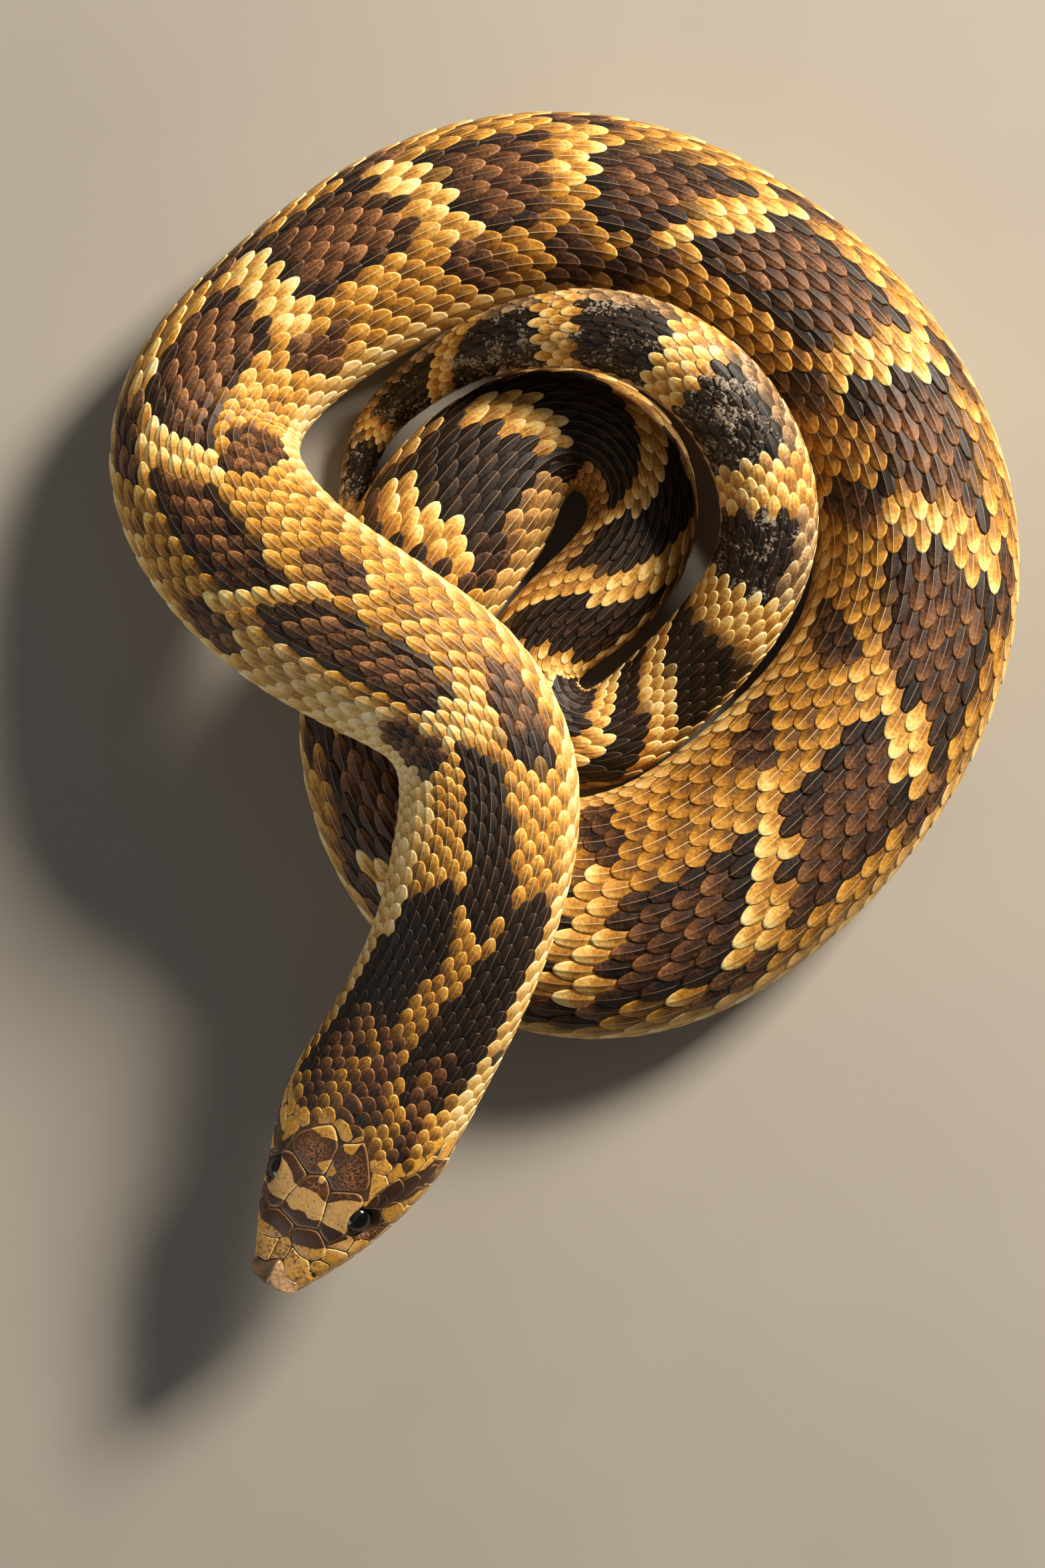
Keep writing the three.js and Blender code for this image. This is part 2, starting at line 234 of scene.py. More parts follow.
def spine_frame(run):
    """Middle of the body at a run, and the directions of travel, of its left side and of its top.
    The top of the head is turned by the roll, which dies out along the neck."""
    middle = np.stack([np.interp(run, spine_run, spine_rows[:, k]) for k in range(3)], -1)
    travel = np.stack([np.interp(run, spine_run, spine_travel[:, k]) for k in range(3)], -1)
    travel /= np.linalg.norm(travel, axis=-1, keepdims=True)
    side = np.cross(travel, (0.0, 0.0, 1.0))
    side /= np.linalg.norm(side, axis=-1, keepdims=True)
    top = np.cross(side, travel)
    roll = (head_roll * (1 - smooth(0, roll_fade, run)))[..., None]
    left = side * np.cos(roll) + top * np.sin(roll)
    top = top * np.cos(roll) - side * np.sin(roll)
    return middle - outline_middle, travel, left, top


def signed_power(value, power):
    """|value| to a power, with the value's own sign."""
    return np.sign(value) * np.abs(value) ** power


def head_sizes(ahead):
    """The rows of head_form between stations, each averaged over 2 mm so that they join smoothly."""
    return [
        sum(np.interp(ahead + d, head_form[:, 0], head_form[:, k]) for d in (-1.0, -0.35, 0.35, 1.0)) / 4
        for k in range(1, 5)
    ]


eye_ahead, eye_out, eye_up, eye_radius = 18.0, 7.1, 2.6, 2.4
orbit_depth, orbit_length, orbit_height, orbit_up = 1.6, 6.5, 1.7, 3.0  # the hollow round an eye
socket_edge, socket_rise = 2.15, 3.2  # from the line of sight


def section(run, turn):
    """The outline of the body at a run, at an angle turned from its top to its left side.
    Behind the jaw it is an ellipse, squarer below; the head is a superellipse of power 0.75 whose
    upper and lower halves have their own heights, hollowed on each side round the eye. Between the
    two they blend over 11 mm."""
    across, up = np.sin(turn), np.cos(turn)
    half_width = np.interp(run, spine_run, spine_rows[:, 3]) / 2
    half_height = np.interp(run, spine_run, spine_rows[:, 4]) / 2
    power = np.where(up < 0, 0.8, 1.0)
    body_across = half_width * signed_power(across, power)
    body_up = half_height * signed_power(up, power)
    width, crown, chin, _ = head_sizes(-run)
    head_up = signed_power(up, 0.75) * np.where(up > 0, crown, chin)
    from_eye = ((run + eye_ahead) / orbit_length) ** 2 + ((head_up - orbit_up) / orbit_height) ** 2
    head_across = (width - orbit_depth * np.exp(-from_eye)) * signed_power(across, 0.75)
    behind = smooth(-3, 8, run)
    return (
        head_across + (body_across - head_across) * behind,
        head_up + (body_up - head_up) * behind,
    )


def head_relief(run, across, up):
    """Small forms of the head, as a push along the surface's normal: the ridge of the brow over
    each eye, the nostril, and the groove between the lips."""
    ahead = -run
    out = np.abs(across)
    brow = 0.35 * np.exp(-(((ahead - 18.5) / 4.2) ** 2) - ((out - 7.2) / 1.4) ** 2) * (up > 2)
    nostril = -0.9 * np.exp(-(((ahead - 29.45) / 0.5) ** 2) - ((up - 1.3) / 0.55) ** 2) * (out > 2)
    mouth = np.interp(ahead, head_form[:, 0], head_form[:, 4])
    groove = -0.35 * np.exp(-(((up - mouth) / 0.22) ** 2)) * smooth(1.5, 4.0, ahead) * (ahead < 33.5)
    return brow + nostril + groove


def surface(run, turn, lift=0.0):
    """A point of the animal's outline at a run and a turn, raised along the outline's normal by a
    lift, and never below the floor. Also returns that normal."""
    run, turn, lift = np.broadcast_arrays(np.asarray(run, float), turn, lift)
    middle, _, left, top = spine_frame(run)
    nudge = 0.02
    across, up = section(run, turn)
    next_across, next_up = section(run, turn + nudge)
    last_across, last_up = section(run, turn - nudge)
    along_across, along_up = next_across - last_across, next_up - last_up
    size = np.hypot(along_across, along_up) + 1e-9
    out_across, out_up = -along_up / size, along_across / size
    head_part = (run < 0) & (run > -head_length)
    lift = lift + np.where(head_part, head_relief(run, across, up), 0.0)
    across, up = across + lift * out_across, up + lift * out_up
    point = middle + across[..., None] * left + up[..., None] * top
    normal = out_across[..., None] * left + out_up[..., None] * top
    point[..., 2] = np.maximum(point[..., 2], 0.0)
    return point, normal


def eye_frame(side):
    """The middle of an eye, and the way that it looks: outwards, a little up and forwards."""
    middle, travel, left, top = spine_frame(np.array(-eye_ahead))
    centre = middle + side * eye_out * left + eye_up * top
    gaze = side * left * 0.9 + top * 0.42 - travel * 0.12
    return centre, gaze / np.linalg.norm(gaze)


def sink_sockets(points):
    """Presses the skin in round each eye: inside the socket's edge it is brought under the eyeball,
    and from there to the socket's rise it comes up to its own level again."""
    for side in (-1, 1):
        centre, gaze = eye_frame(side)
        away = points - centre
        depth = away @ gaze
        radius = np.linalg.norm(away - depth[..., None] * gaze, axis=-1)
        floor_depth = np.sqrt(np.maximum(2.2**2 - radius**2, 0.9**2))
        sunk = np.minimum(depth, floor_depth)
        share = (1 - smooth(socket_edge, socket_rise, radius)) * (depth > -1.5)
        points = points + ((sunk - depth) * share)[..., None] * gaze
    return points


# The pale crossbars: run at a turn of +20 degrees, run at -45 degrees, and width.
crossbars = np.array([
    (61.0, 64.0, 8.5), (85.5, 102.0, 5.0), (113.0, 137.5, 8.5), (160.0, 160.0, 7.5),
    (191.0, 185.0, 7.5), (211.5, 211.5, 7.0), (229.0, 241.0, 7.0), (264.0, 271.0, 7.5),
    (291.5, 300.0, 7.5), (319.5, 330.0, 7.5), (345.5, 363.5, 8.0), (380.0, 386.0, 7.0),
    (405.5, 411.5, 6.0), (435.5, 435.5, 6.5), (462.5, 463.5, 8.0), (488.0, 482.5, 7.5),
    (513.5, 501.5, 7.0), (532.5, 520.5, 7.0), (547.5, 543.5, 8.0), (561.5, 568.5, 5.5),
    (576.0, 582.5, 7.5), (597.5, 597.5, 7.5), (617.5, 617.5, 8.0), (641.5, 641.5, 7.5),
    (662.0, 662.0, 6.5), (680.0, 686.0, 5.5), (701.5, 701.5, 5.0), (716.5, 716.5, 3.0),
])
# The dark saddle after each crossbar: how far it reaches on the left and right, in degrees.
saddles = np.array([
    (4, -31), (4, -31), (12, -42), (14, -46), (20, -40), (20, -36), (20, -40), (18, -38),
    (16, -48), (4, -52), (6, -48), (16, -46), (16, -46), (20, -50), (30, -52), (40, -58),
    (44, -62), (50, -70), (60, -75), (70, -80), (78, -85), (82, -88), (85, -88), (85, -88),
    (90, -90), (90, -90), (90, -90), (90, -90),
])
# Single dark patches of the neck: middle run (mm) and turn (degrees), half length (mm), half
# height (degrees), and slant (degrees for each mm).
neck_patches = np.array([
    (20.0, 40.0, 18.0, 24.0, 0.45),    # left nuchal patch
    (17.0, -29.0, 19.0, 24.0, 0.55),   # right nuchal patch
    (44.0, 4.0, 13.5, 16.5, -0.8),     # the first saddle, between the ends of the nuchal patches
    (60.0, 32.0, 7.0, 19.0, 0.0),      # spots on the left flank
    (89.5, 23.0, 5.0, 12.0, 0.0),
    (120.0, 37.0, 7.5, 22.0, 0.0),
    (64.0, -46.0, 9.5, 16.0, -0.6),    # spots on the right flank
    (101.0, -58.0, 6.0, 15.0, -0.3),
    (132.5, -53.0, 6.0, 14.0, 0.0),
])


first_saddle = 57.0        # run where the saddles and crossbars take over from the neck's patches
late_start, late_end = 455.0, 475.0  # runs over which the trunk's pattern turns to the tail's
short_bar = 5              # this crossbar ends short of the back
bar_high_turn, bar_low_turn = 20.0, -45.0
flank_spots = ((42.0, 18.0), (-61.0, 12.0))  # middle turn and half height under the bars' ends
flank_spot_half = 5.2      # half length
spotted_bars = slice(3, 16)
spot_power = 2.6           # of the superellipse of a spot or patch
mm_per_degree = 0.24       # round the outline of the trunk


def body_marks(run, turn):
    """The markings of the body, as shares from 0 to 1 at a run (mm) and a turn (degrees): how dark,
    how brown the dark is, how pale a crossbar, how near the belly, and how far back. A crossbar is
    a slanted band about its line; a saddle fills the space to the next band between two turns; a
    flank spot is a superellipse that hangs under each band's end; edges soften over about 1 mm.
    The nape is brown with two tan stripes, and beads of cream edge the right of the neck."""
    down = (bar_high_turn - np.clip(turn, -75, 60)[..., None]) / (bar_high_turn - bar_low_turn)
    lines = crossbars[:, 0] + (crossbars[:, 1] - crossbars[:, 0]) * down
    offset = run[..., None] - lines
    nearest = np.abs(offset).argmin(-1)
    width = crossbars[nearest, 2] / 2
    near = np.take_along_axis(offset, nearest[..., None], -1)[..., 0]
    bar = 1 - smooth(width - 0.6, width + 0.6, np.abs(near))
    cell = np.clip((offset > 0).sum(-1) - 1, 0, len(saddles) - 1)
    high, low = saddles[cell, 0], saddles[cell, 1]
    from_edge = np.minimum(high - turn, turn - low) * mm_per_degree
    from_band = np.abs(near) - width
    late = smooth(late_start, late_end, run)
    inside = np.minimum(from_edge, from_band)
    saddle = smooth(-0.5, 0.5, inside) * (run > first_saddle)
    bar = np.where((nearest == short_bar) & (turn > -2), 0.0, bar)
    bar = bar * (turn > -62 - 30 * late) * (turn < 18 + 75 * late)
    bar = bar * (run > first_saddle - 2) * smooth(80, 62, np.abs(turn) * (1 - late))
    flank = np.zeros_like(run)
    for middle_turn, half_turn in flank_spots:
        spot = (np.abs(run[..., None] - lines[..., spotted_bars]) / flank_spot_half) ** spot_power
        spot = spot + (np.abs(turn[..., None] - middle_turn) / half_turn) ** spot_power
        flank = np.maximum(flank, smooth(1.15, 0.85, spot.min(-1)))
    for centre_run, centre_turn, half_run, half_turn, slant in neck_patches:
        along = run - centre_run
        across = turn - centre_turn - slant * along
        spot = (np.abs(along) / half_run) ** spot_power + (np.abs(across) / half_turn) ** spot_power
        flank = np.maximum(flank, smooth(1.12, 0.88, spot))
    stripe = 1 - smooth(2.5, 4.5, np.abs(turn - 5.0))
    nape_stripe = stripe * (run < 31) * smooth(-2, 6, run)
    dark = np.maximum(saddle, flank) * (1 - bar * (flank < 0.5)) * (1 - nape_stripe * 0.7)
    spotted = 0.5 * (flank > 0.5)
    brown = np.maximum(0.2 + 0.8 * smooth(0.5, 5.0, inside), spotted) * (1 - 0.85 * late)
    brown = brown * (run > first_saddle)
    nape = smooth(15, 9, run) * smooth(46, 36, np.abs(turn - 2))
    tan_stripes = np.exp(-(((turn + 13) / 6.5) ** 2)) * (run < 10) + np.exp(-(((turn - 19) / 7.5) ** 2))
    nape = nape * (1 - np.clip(1.3 * tan_stripes, 0, 1))
    dark, brown = np.maximum(dark, nape), np.maximum(brown, nape)
    # Painted light: just ahead of the vent, on the upper left where the key light falls, the dark marks are
    # mostly lifted.
    sunny = late * smooth(584, 600, run) * smooth(18, 42, turn) * (1 - bar)
    dark = dark * (1 - 0.85 * sunny)
    belly = smooth(58, 84, np.abs(turn + 6)) * (1 - 0.75 * late)
    belly = np.maximum(belly, smooth(-36, -46, turn) * smooth(4, 14, run) * smooth(100, 76, run))
    late = 0.45 * late + 0.55 * smooth(585, 605, run)
    return dark, brown, bar, belly, late


def make_piece(name, points, corners, sizes, maps=(), shares=()):
    """A mesh object at the origin from points in millimetres. Corners lists each face's points one
    face after another, and sizes how many each face has. Maps are (name, u and v of each corner),
    and shares are (name, red, green, blue and perhaps alpha of each point)."""
    mesh = bpy.data.meshes.new(name)
    points = np.asarray(points, float).reshape(-1, 3)
    corners = np.asarray(corners, np.int32).ravel()
    sizes = np.asarray(sizes, np.int32).ravel()
    mesh.vertices.add(len(points))
    mesh.vertices.foreach_set("co", (points * 0.001).ravel())
    mesh.loops.add(len(corners))
    mesh.loops.foreach_set("vertex_index", corners)
    mesh.polygons.add(len(sizes))
    mesh.polygons.foreach_set("loop_start", np.r_[0, np.cumsum(sizes)[:-1]].astype(np.int32))
    mesh.polygons.foreach_set("loop_total", sizes)
    mesh.update(calc_edges=True)
    mesh.polygons.foreach_set("use_smooth", np.ones(len(sizes), bool))
    for map_name, values in maps:
        layer = mesh.uv_layers.new(name=map_name)
        layer.data.foreach_set("uv", np.asarray(values, np.float32).ravel())
    for share_name, values in shares:
        layer = mesh.color_attributes.new(share_name, "FLOAT_COLOR", "POINT")
        four = np.concatenate([values, np.ones((len(values), 4 - values.shape[1]))], 1)
        layer.data.foreach_set("color", four.astype(np.float32).ravel())
    mesh.validate()
    piece = bpy.data.objects.new(name, mesh)
    bpy.context.scene.collection.objects.link(piece)
    return piece


def tube_faces(rings, sides):
    """Quads between rings of points, each ring closed on itself, with a fan to a point at each end.
    The end points come after the rings."""
    i, j = np.meshgrid(np.arange(rings - 1), np.arange(sides), indexing="ij")
    a, b = i * sides + j, i * sides + (j + 1) % sides
    quads = np.stack([a, a + sides, b + sides, b], -1).reshape(-1, 4)
    j = np.arange(sides)
    first = np.stack([np.full(sides, rings * sides), j, (j + 1) % sides], -1)
    base = (rings - 1) * sides
    last = np.stack([np.full(sides, rings * sides + 1), base + (j + 1) % sides, base + j], -1)
    corners = np.concatenate([quads.ravel(), first.ravel(), last.ravel()])
    sizes = np.r_[np.full(len(quads), 4), np.full(2 * sides, 3)]
    return corners, sizes


# How far round the half circle of the body a turn has come, by length along a typical outline.
typical_turn = np.linspace(0, math.pi, 181)
typical_across = 15.5 * signed_power(np.sin(typical_turn), np.where(typical_turn > math.pi / 2, 0.8, 1))
typical_up = 13.0 * signed_power(np.cos(typical_turn), np.where(typical_turn > math.pi / 2, 0.8, 1))
typical_girth = np.r_[0, np.cumsum(np.hypot(np.diff(typical_across), np.diff(typical_up)))]
typical_girth /= typical_girth[-1]


def turn_of(girth):
    """The turn of a share of the half girth, from 0 at the top to 1 at the bottom, with its sign."""
    return np.sign(girth) * np.interp(np.abs(girth), typical_girth, typical_turn)


def girth_of(turn):
    """The share of the half girth that a turn has come round, with its sign."""
    return np.sign(turn) * np.interp(np.abs(turn), typical_turn, typical_girth)


def bake_place(run, girth):
    """The skin's own unwrap: run along u, girth along the lower half of v."""
    u = 0.01 + 0.98 * (run + head_length + 1.0) / (body_end + head_length + 2.0)
    return u, 0.01 + 0.48 * (girth + 1) / 2


skin_runs = np.concatenate([
    np.arange(-32.6, 12.0, 0.45), np.arange(12.0, 700.0, 1.6), np.linspace(700.0, body_end - 0.4, 28),
])
skin_turns = turn_of(np.linspace(-1, 1, 89)[:-1] + 1 / 88)
grid_run, grid_turn = np.meshgrid(skin_runs, skin_turns, indexing="ij")
slimming = np.minimum(coat_depth, 0.22 * np.interp(grid_run, spine_run, spine_rows[:, 4]))
skin_points, _ = surface(grid_run, grid_turn, -slimming)
skin_points[..., 2] = np.maximum(skin_points[..., 2], slimming)
skin_points = sink_sockets(skin_points)
ends = np.stack([skin_points[0].mean(0), skin_points[-1].mean(0)])
dark, brown, bar, belly, late = body_marks(grid_run, np.degrees(grid_turn))
on_head = smooth(4, -2, grid_run)
skin_shares = np.stack([dark + (0.45 - dark) * on_head, bar, belly * (1 - on_head)], -1).reshape(-1, 3)
skin_shares = np.concatenate([skin_shares, skin_shares[[0, -1]]])
corners, sizes = tube_faces(len(skin_runs), len(skin_turns))
flat_run = np.r_[grid_run.ravel(), skin_runs[0] - 0.5, skin_runs[-1] + 0.3]
flat_girth = np.r_[girth_of(grid_turn).ravel(), 0.0, 0.0]
skin_u, skin_v = bake_place(flat_run[corners], flat_girth[corners])
skin = make_piece(
    "skin",
    np.concatenate([skin_points.reshape(-1, 3), ends]),
    corners,
    sizes,
    maps=[("OFBake", np.stack([skin_u, skin_v], -1))],
    shares=[("marks", skin_shares)],
)
# Bare snake skin, thin and folded: matt, near black under the dark marks and buff elsewhere.
bare_skin, tree, shader = new_material("bare_snake_skin")
marks = add_node(tree, "ShaderNodeVertexColor", layer_name="marks")
dark, belly = (add_node(tree, "ShaderNodeSeparateColor", channel, Color=marks) for channel in ("Red", "Blue"))
blend = {"kind": "ShaderNodeMix", "out": 2, "data_type": "RGBA"}
ground = add_node(tree, **blend, Factor=belly, _6=linear("#6e4a1c"), _7=linear("#a8854e"))
toned = add_node(tree, **blend, Factor=dark, _6=ground, _7=linear("#120c09"))
tree.links.new(toned, shader.inputs["Base Color"])
shader.inputs["Roughness"].default_value = 0.7
skin.data.materials.append(bare_skin)
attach(skin, "root")
flesh = [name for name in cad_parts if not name.startswith("eye_")]
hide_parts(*flesh)

# --- Dorsal scales -------------------------------------------------------------------------------
# Keeled plates of horny keratin that grow from the skin in slanting rows, 25 on the trunk and fewer
# towards the tail. Each is sunk at its front edge and free at its tip, which lies over the next.

pitch_run = np.array([-14, 0, 30, 60, 90, 130, 200, 400, 480, 560, 620, 680, 715, 734.0])
pitch_mm = np.array([2.55, 2.7, 2.9, 3.2, 3.9, 4.6, 4.9, 4.9, 4.4, 3.7, 3.4, 3.1, 2.4, 1.7])
full_pitch = 4.9
count_run = np.arange(-14.0, body_end, 0.25)
count_of_run = np.r_[0, np.cumsum(0.25 / np.interp(count_run[:-1], pitch_run, pitch_mm))]
dorsal_share = 0.73  # of the half girth, from the line of the back to the belly plates
scale_length = 1.42  # of the pitch, tip to hidden front edge
scale_width = 0.71   # of the distance between rows, on each side of the keel
front_lift, tip_lift = -0.10, 0.30  # mm over the skin of a full-sized scale's two ends
dome_rise, keel_rise, keel_half = 0.15, 0.17, 0.12  # mm, mm, and a share of the half width
foot_level = -0.12  # mm, where the skirt of a scale ends in the skin


def back_line(run):
    """Where the line of the back lies, as a share of the half girth: the body leans out of bends."""
    return np.interp(run, [40, 110, 450, 520], [4.0, -14.0, -14.0, 0.0]) / 180.0


def row_girth(run, row, rows):
    """Girth of a row counted from the line of the back. Rows are narrow on the back and widen down
    the flank, as a line plus a cube of the row's share."""
    share = row / (rows / 2)
    middle = np.interp(run, [30, 120], [0.62, 0.74])
    return (middle * share + (1 - middle) * share**3) * dorsal_share + back_line(run)


def scale_pattern(long_steps, wide_steps):
    """One scale on a square grid pressed into a disc: x = a sqrt(1 - b^2/2), y = b sqrt(1 - a^2/2).
    A skirt hangs from its edge into the skin, and one face closes it below. Returns the disc place
    and kind of each point (0 top, 1 foot of the skirt), the faces, and their places on the map."""
    a, b = np.meshgrid(long_steps, wide_steps, indexing="ij")
    x, y = a * np.sqrt(1 - b**2 / 2), b * np.sqrt(1 - a**2 / 2)
    n, m = a.shape
    index = np.arange(n * m).reshape(n, m)
    quads = np.stack([index[:-1, :-1], index[1:, :-1], index[1:, 1:], index[:-1, 1:]], -1).reshape(-1, 4)
    rim = np.concatenate([index[:-1, 0], index[-1, :-1], index[:0:-1, -1], index[0, :0:-1]])
    foot = n * m + np.arange(len(rim))
    following = np.roll(np.arange(len(rim)), -1)
    skirt = np.stack([rim, foot, foot[following], rim[following]], -1)
    px = np.r_[x.ravel(), x.ravel()[rim]]
    py = np.r_[y.ravel(), y.ravel()[rim]]
    kind = np.r_[np.zeros(n * m), np.ones(len(rim))]
    corners = np.concatenate([quads.ravel(), skirt.ravel(), foot[::-1]])
    sizes = np.r_[np.full(len(quads) + len(skirt), 4), len(rim)]
    spread = np.where(kind[corners] > 0, 1.14, 1.0)
    spread[-len(rim):] = 0.8
    patch = np.stack([px[corners] * spread, py[corners] * spread], -1)
    below = np.r_[np.zeros(4 * (len(quads) + len(skirt))), np.ones(len(rim))]
    return px, py, kind, corners, sizes, patch, below


def repeat_faces(corners, sizes, points_each, count):
    """The faces of one pattern for each of many copies."""
    offsets = np.arange(count)[:, None] * points_each
    return (corners[None, :] + offsets).ravel(), np.tile(sizes, count)


def coat_piece(name, points, pattern, bake, marks, tones):
    """A piece of many copies of one scale pattern, with the unwrap of each corner, and the marks
    and tones of each copy."""
    px, py, _, corners, sizes, _, _ = pattern
    corners_all, sizes_all = repeat_faces(corners, sizes, len(px), len(points))
    lie = np.stack([px[corners] / 2 + 0.5, py[corners] / 2 + 0.5], -1)
    maps = [("OFBake", bake), ("lie", np.broadcast_to(lie, (len(points), *lie.shape)))]
    shares = [(word, np.repeat(np.stack(values, -1), len(px), 0))
              for word, values in (("marks", marks), ("tones", tones))]
    return make_piece(name, points, corners_all, sizes_all, maps=maps, shares=shares)


def scale_allowed(run, turn):
    """Keeled scales start behind the plates of the head: 7 mm ahead of the jaw corner in the middle,
    further forward beside the parietals, and level with the jaw corner under the head."""
    out = np.abs(turn) * 12.4
    front = np.interp(
        out, [0, 2, 4.5, 6.0, 6.6, 8, 9.8, 11.6, 12.8, 13.6, 18, 20],
        [7.4, 7.2, 8.6, 9.2, 8.0, 7.0, 6.6, 5.0, 2.4, 0.4, -0.4, -1.0])
    return (-run < front) & (-run < np.where(np.abs(turn) > 1.6, 0.0, 99.0))


patch_half = 0.0013  # of the unwrap, for one scale


def dorsal_scales(name, start, end, rows, random):
    """Scales between two runs: every second row is moved on by half a pitch. The half width follows
    the disc and narrows to the front; the height is a slope up to the tip, a low dome and a keel."""
    first, last = np.interp([start, end], count_run, count_of_run)
    pattern = scale_pattern(
        np.array([-1, -0.6, -0.2, 0.2, 0.6, 0.88, 1]), np.array([-1, -0.62, -0.13, 0, 0.13, 0.62, 1]))
    px, py, kind, _, _, patch, below = pattern
    row = np.arange(rows) - (rows - 1) / 2
    count = np.arange(math.ceil(first), math.ceil(last))
    places, lines = np.meshgrid(count, row, indexing="ij")
    places = (places + 0.5 * (np.arange(rows) % 2)).ravel()
    lines = lines.ravel()
    root_run = np.interp(places, count_of_run, count_run)
    root_girth = row_girth(root_run, lines, rows)
    keep = scale_allowed(root_run, turn_of(root_girth))
    places, lines, root_run, root_girth = places[keep], lines[keep], root_run[keep], root_girth[keep]
    root_turn = turn_of(root_girth)
    ahead_point, _ = surface(root_run + 0.5, root_turn)
    behind_point, _ = surface(root_run - 0.5, root_turn)
    stretch = np.linalg.norm(ahead_point - behind_point, axis=-1)
    size = np.interp(root_run, pitch_run, pitch_mm) / full_pitch
    flank = np.abs(lines) / (rows / 2)
    long_share = scale_length / 2 / np.sqrt(np.clip(stretch, 0.5, 1.6))
    x = px[None, :] * long_share[:, None]
    narrowing = 1 - 0.26 * np.clip(-px, 0, 1) ** 1.5 - 0.1 * np.clip(px, 0, 1)
    across = py * narrowing
    wander = random.normal(0, 0.03, (len(places), 2))
    vertex_run = np.interp(places[:, None] + x + wander[:, :1], count_of_run, count_run)
    vertex_row = lines[:, None] + across[None, :] * scale_width + wander[:, 1:]
    vertex_turn = turn_of(row_girth(vertex_run, vertex_row, rows))
    slope = front_lift + (tip_lift - front_lift) * (px + 1) / 2
    dome = dome_rise * (1 - px**2 - py**2 + (px * py) ** 2).clip(0)
    keel_share = (1 - 0.75 * smooth(0.72, 1.0, flank)) * (1 - 0.7 * smooth(480, 640, root_run))
    keel_share = keel_share * (0.3 + 0.7 * smooth(5, 45, root_run))
    keel = keel_rise * np.exp(-((py / keel_half) ** 2)) * smooth(-0.95, -0.5, px)
    keel = keel * (1 - 0.5 * smooth(0.7, 1.0, px))
    tilt = 1 + random.normal(0, 0.12, len(places))
    height = slope[None, :] * tilt[:, None] + dome + keel[None, :] * keel_share[:, None]
    height = np.where(kind > 0, foot_level, height * (size**0.7)[:, None])
    points, _ = surface(vertex_run, vertex_turn, height - coat_depth)
    points[..., 2] = np.maximum(points[..., 2], np.where(kind > 0, 0.3, 0.05))
    shown_run = np.interp(places + 0.25, count_of_run, count_run)
    shown_turn = np.degrees(root_turn) + random.normal(0, 1.2, len(places))
    dark, brown, bar, belly, late = body_marks(shown_run, shown_turn)
    doubt = np.where(shown_run < 18, 0.26, 0.08)  # the nape's marks are the least sharp
    dark = smooth(0.3, 0.7, dark + random.normal(0, 1, len(places)) * doubt)
    # Each scale's own paleness: least on the nape, most on the neck. On the ring's inner side it is least of
    # all, lowered there as painted shade.
    paleness = np.interp(shown_run, [20, 60, 150, 200, 430, 520], [0.30, 0.62, 0.60, 0.34, 0.34, 0.45])
    paleness = paleness - 0.16 * smooth(0, 30, np.degrees(root_turn)) * smooth(150, 200, shown_run)
    chance = np.clip(paleness + random.normal(0, 0.16, len(places)), 0, 1)
    u, v = bake_place(root_run[:, None], root_girth[:, None])
    bake = np.stack([u + patch[:, 0] * patch_half, v + patch[:, 1] * patch_half + 0.49 * below], -1)
    return coat_piece(name, points, pattern, bake, (dark, bar, belly), (brown, late, chance, keel_share))


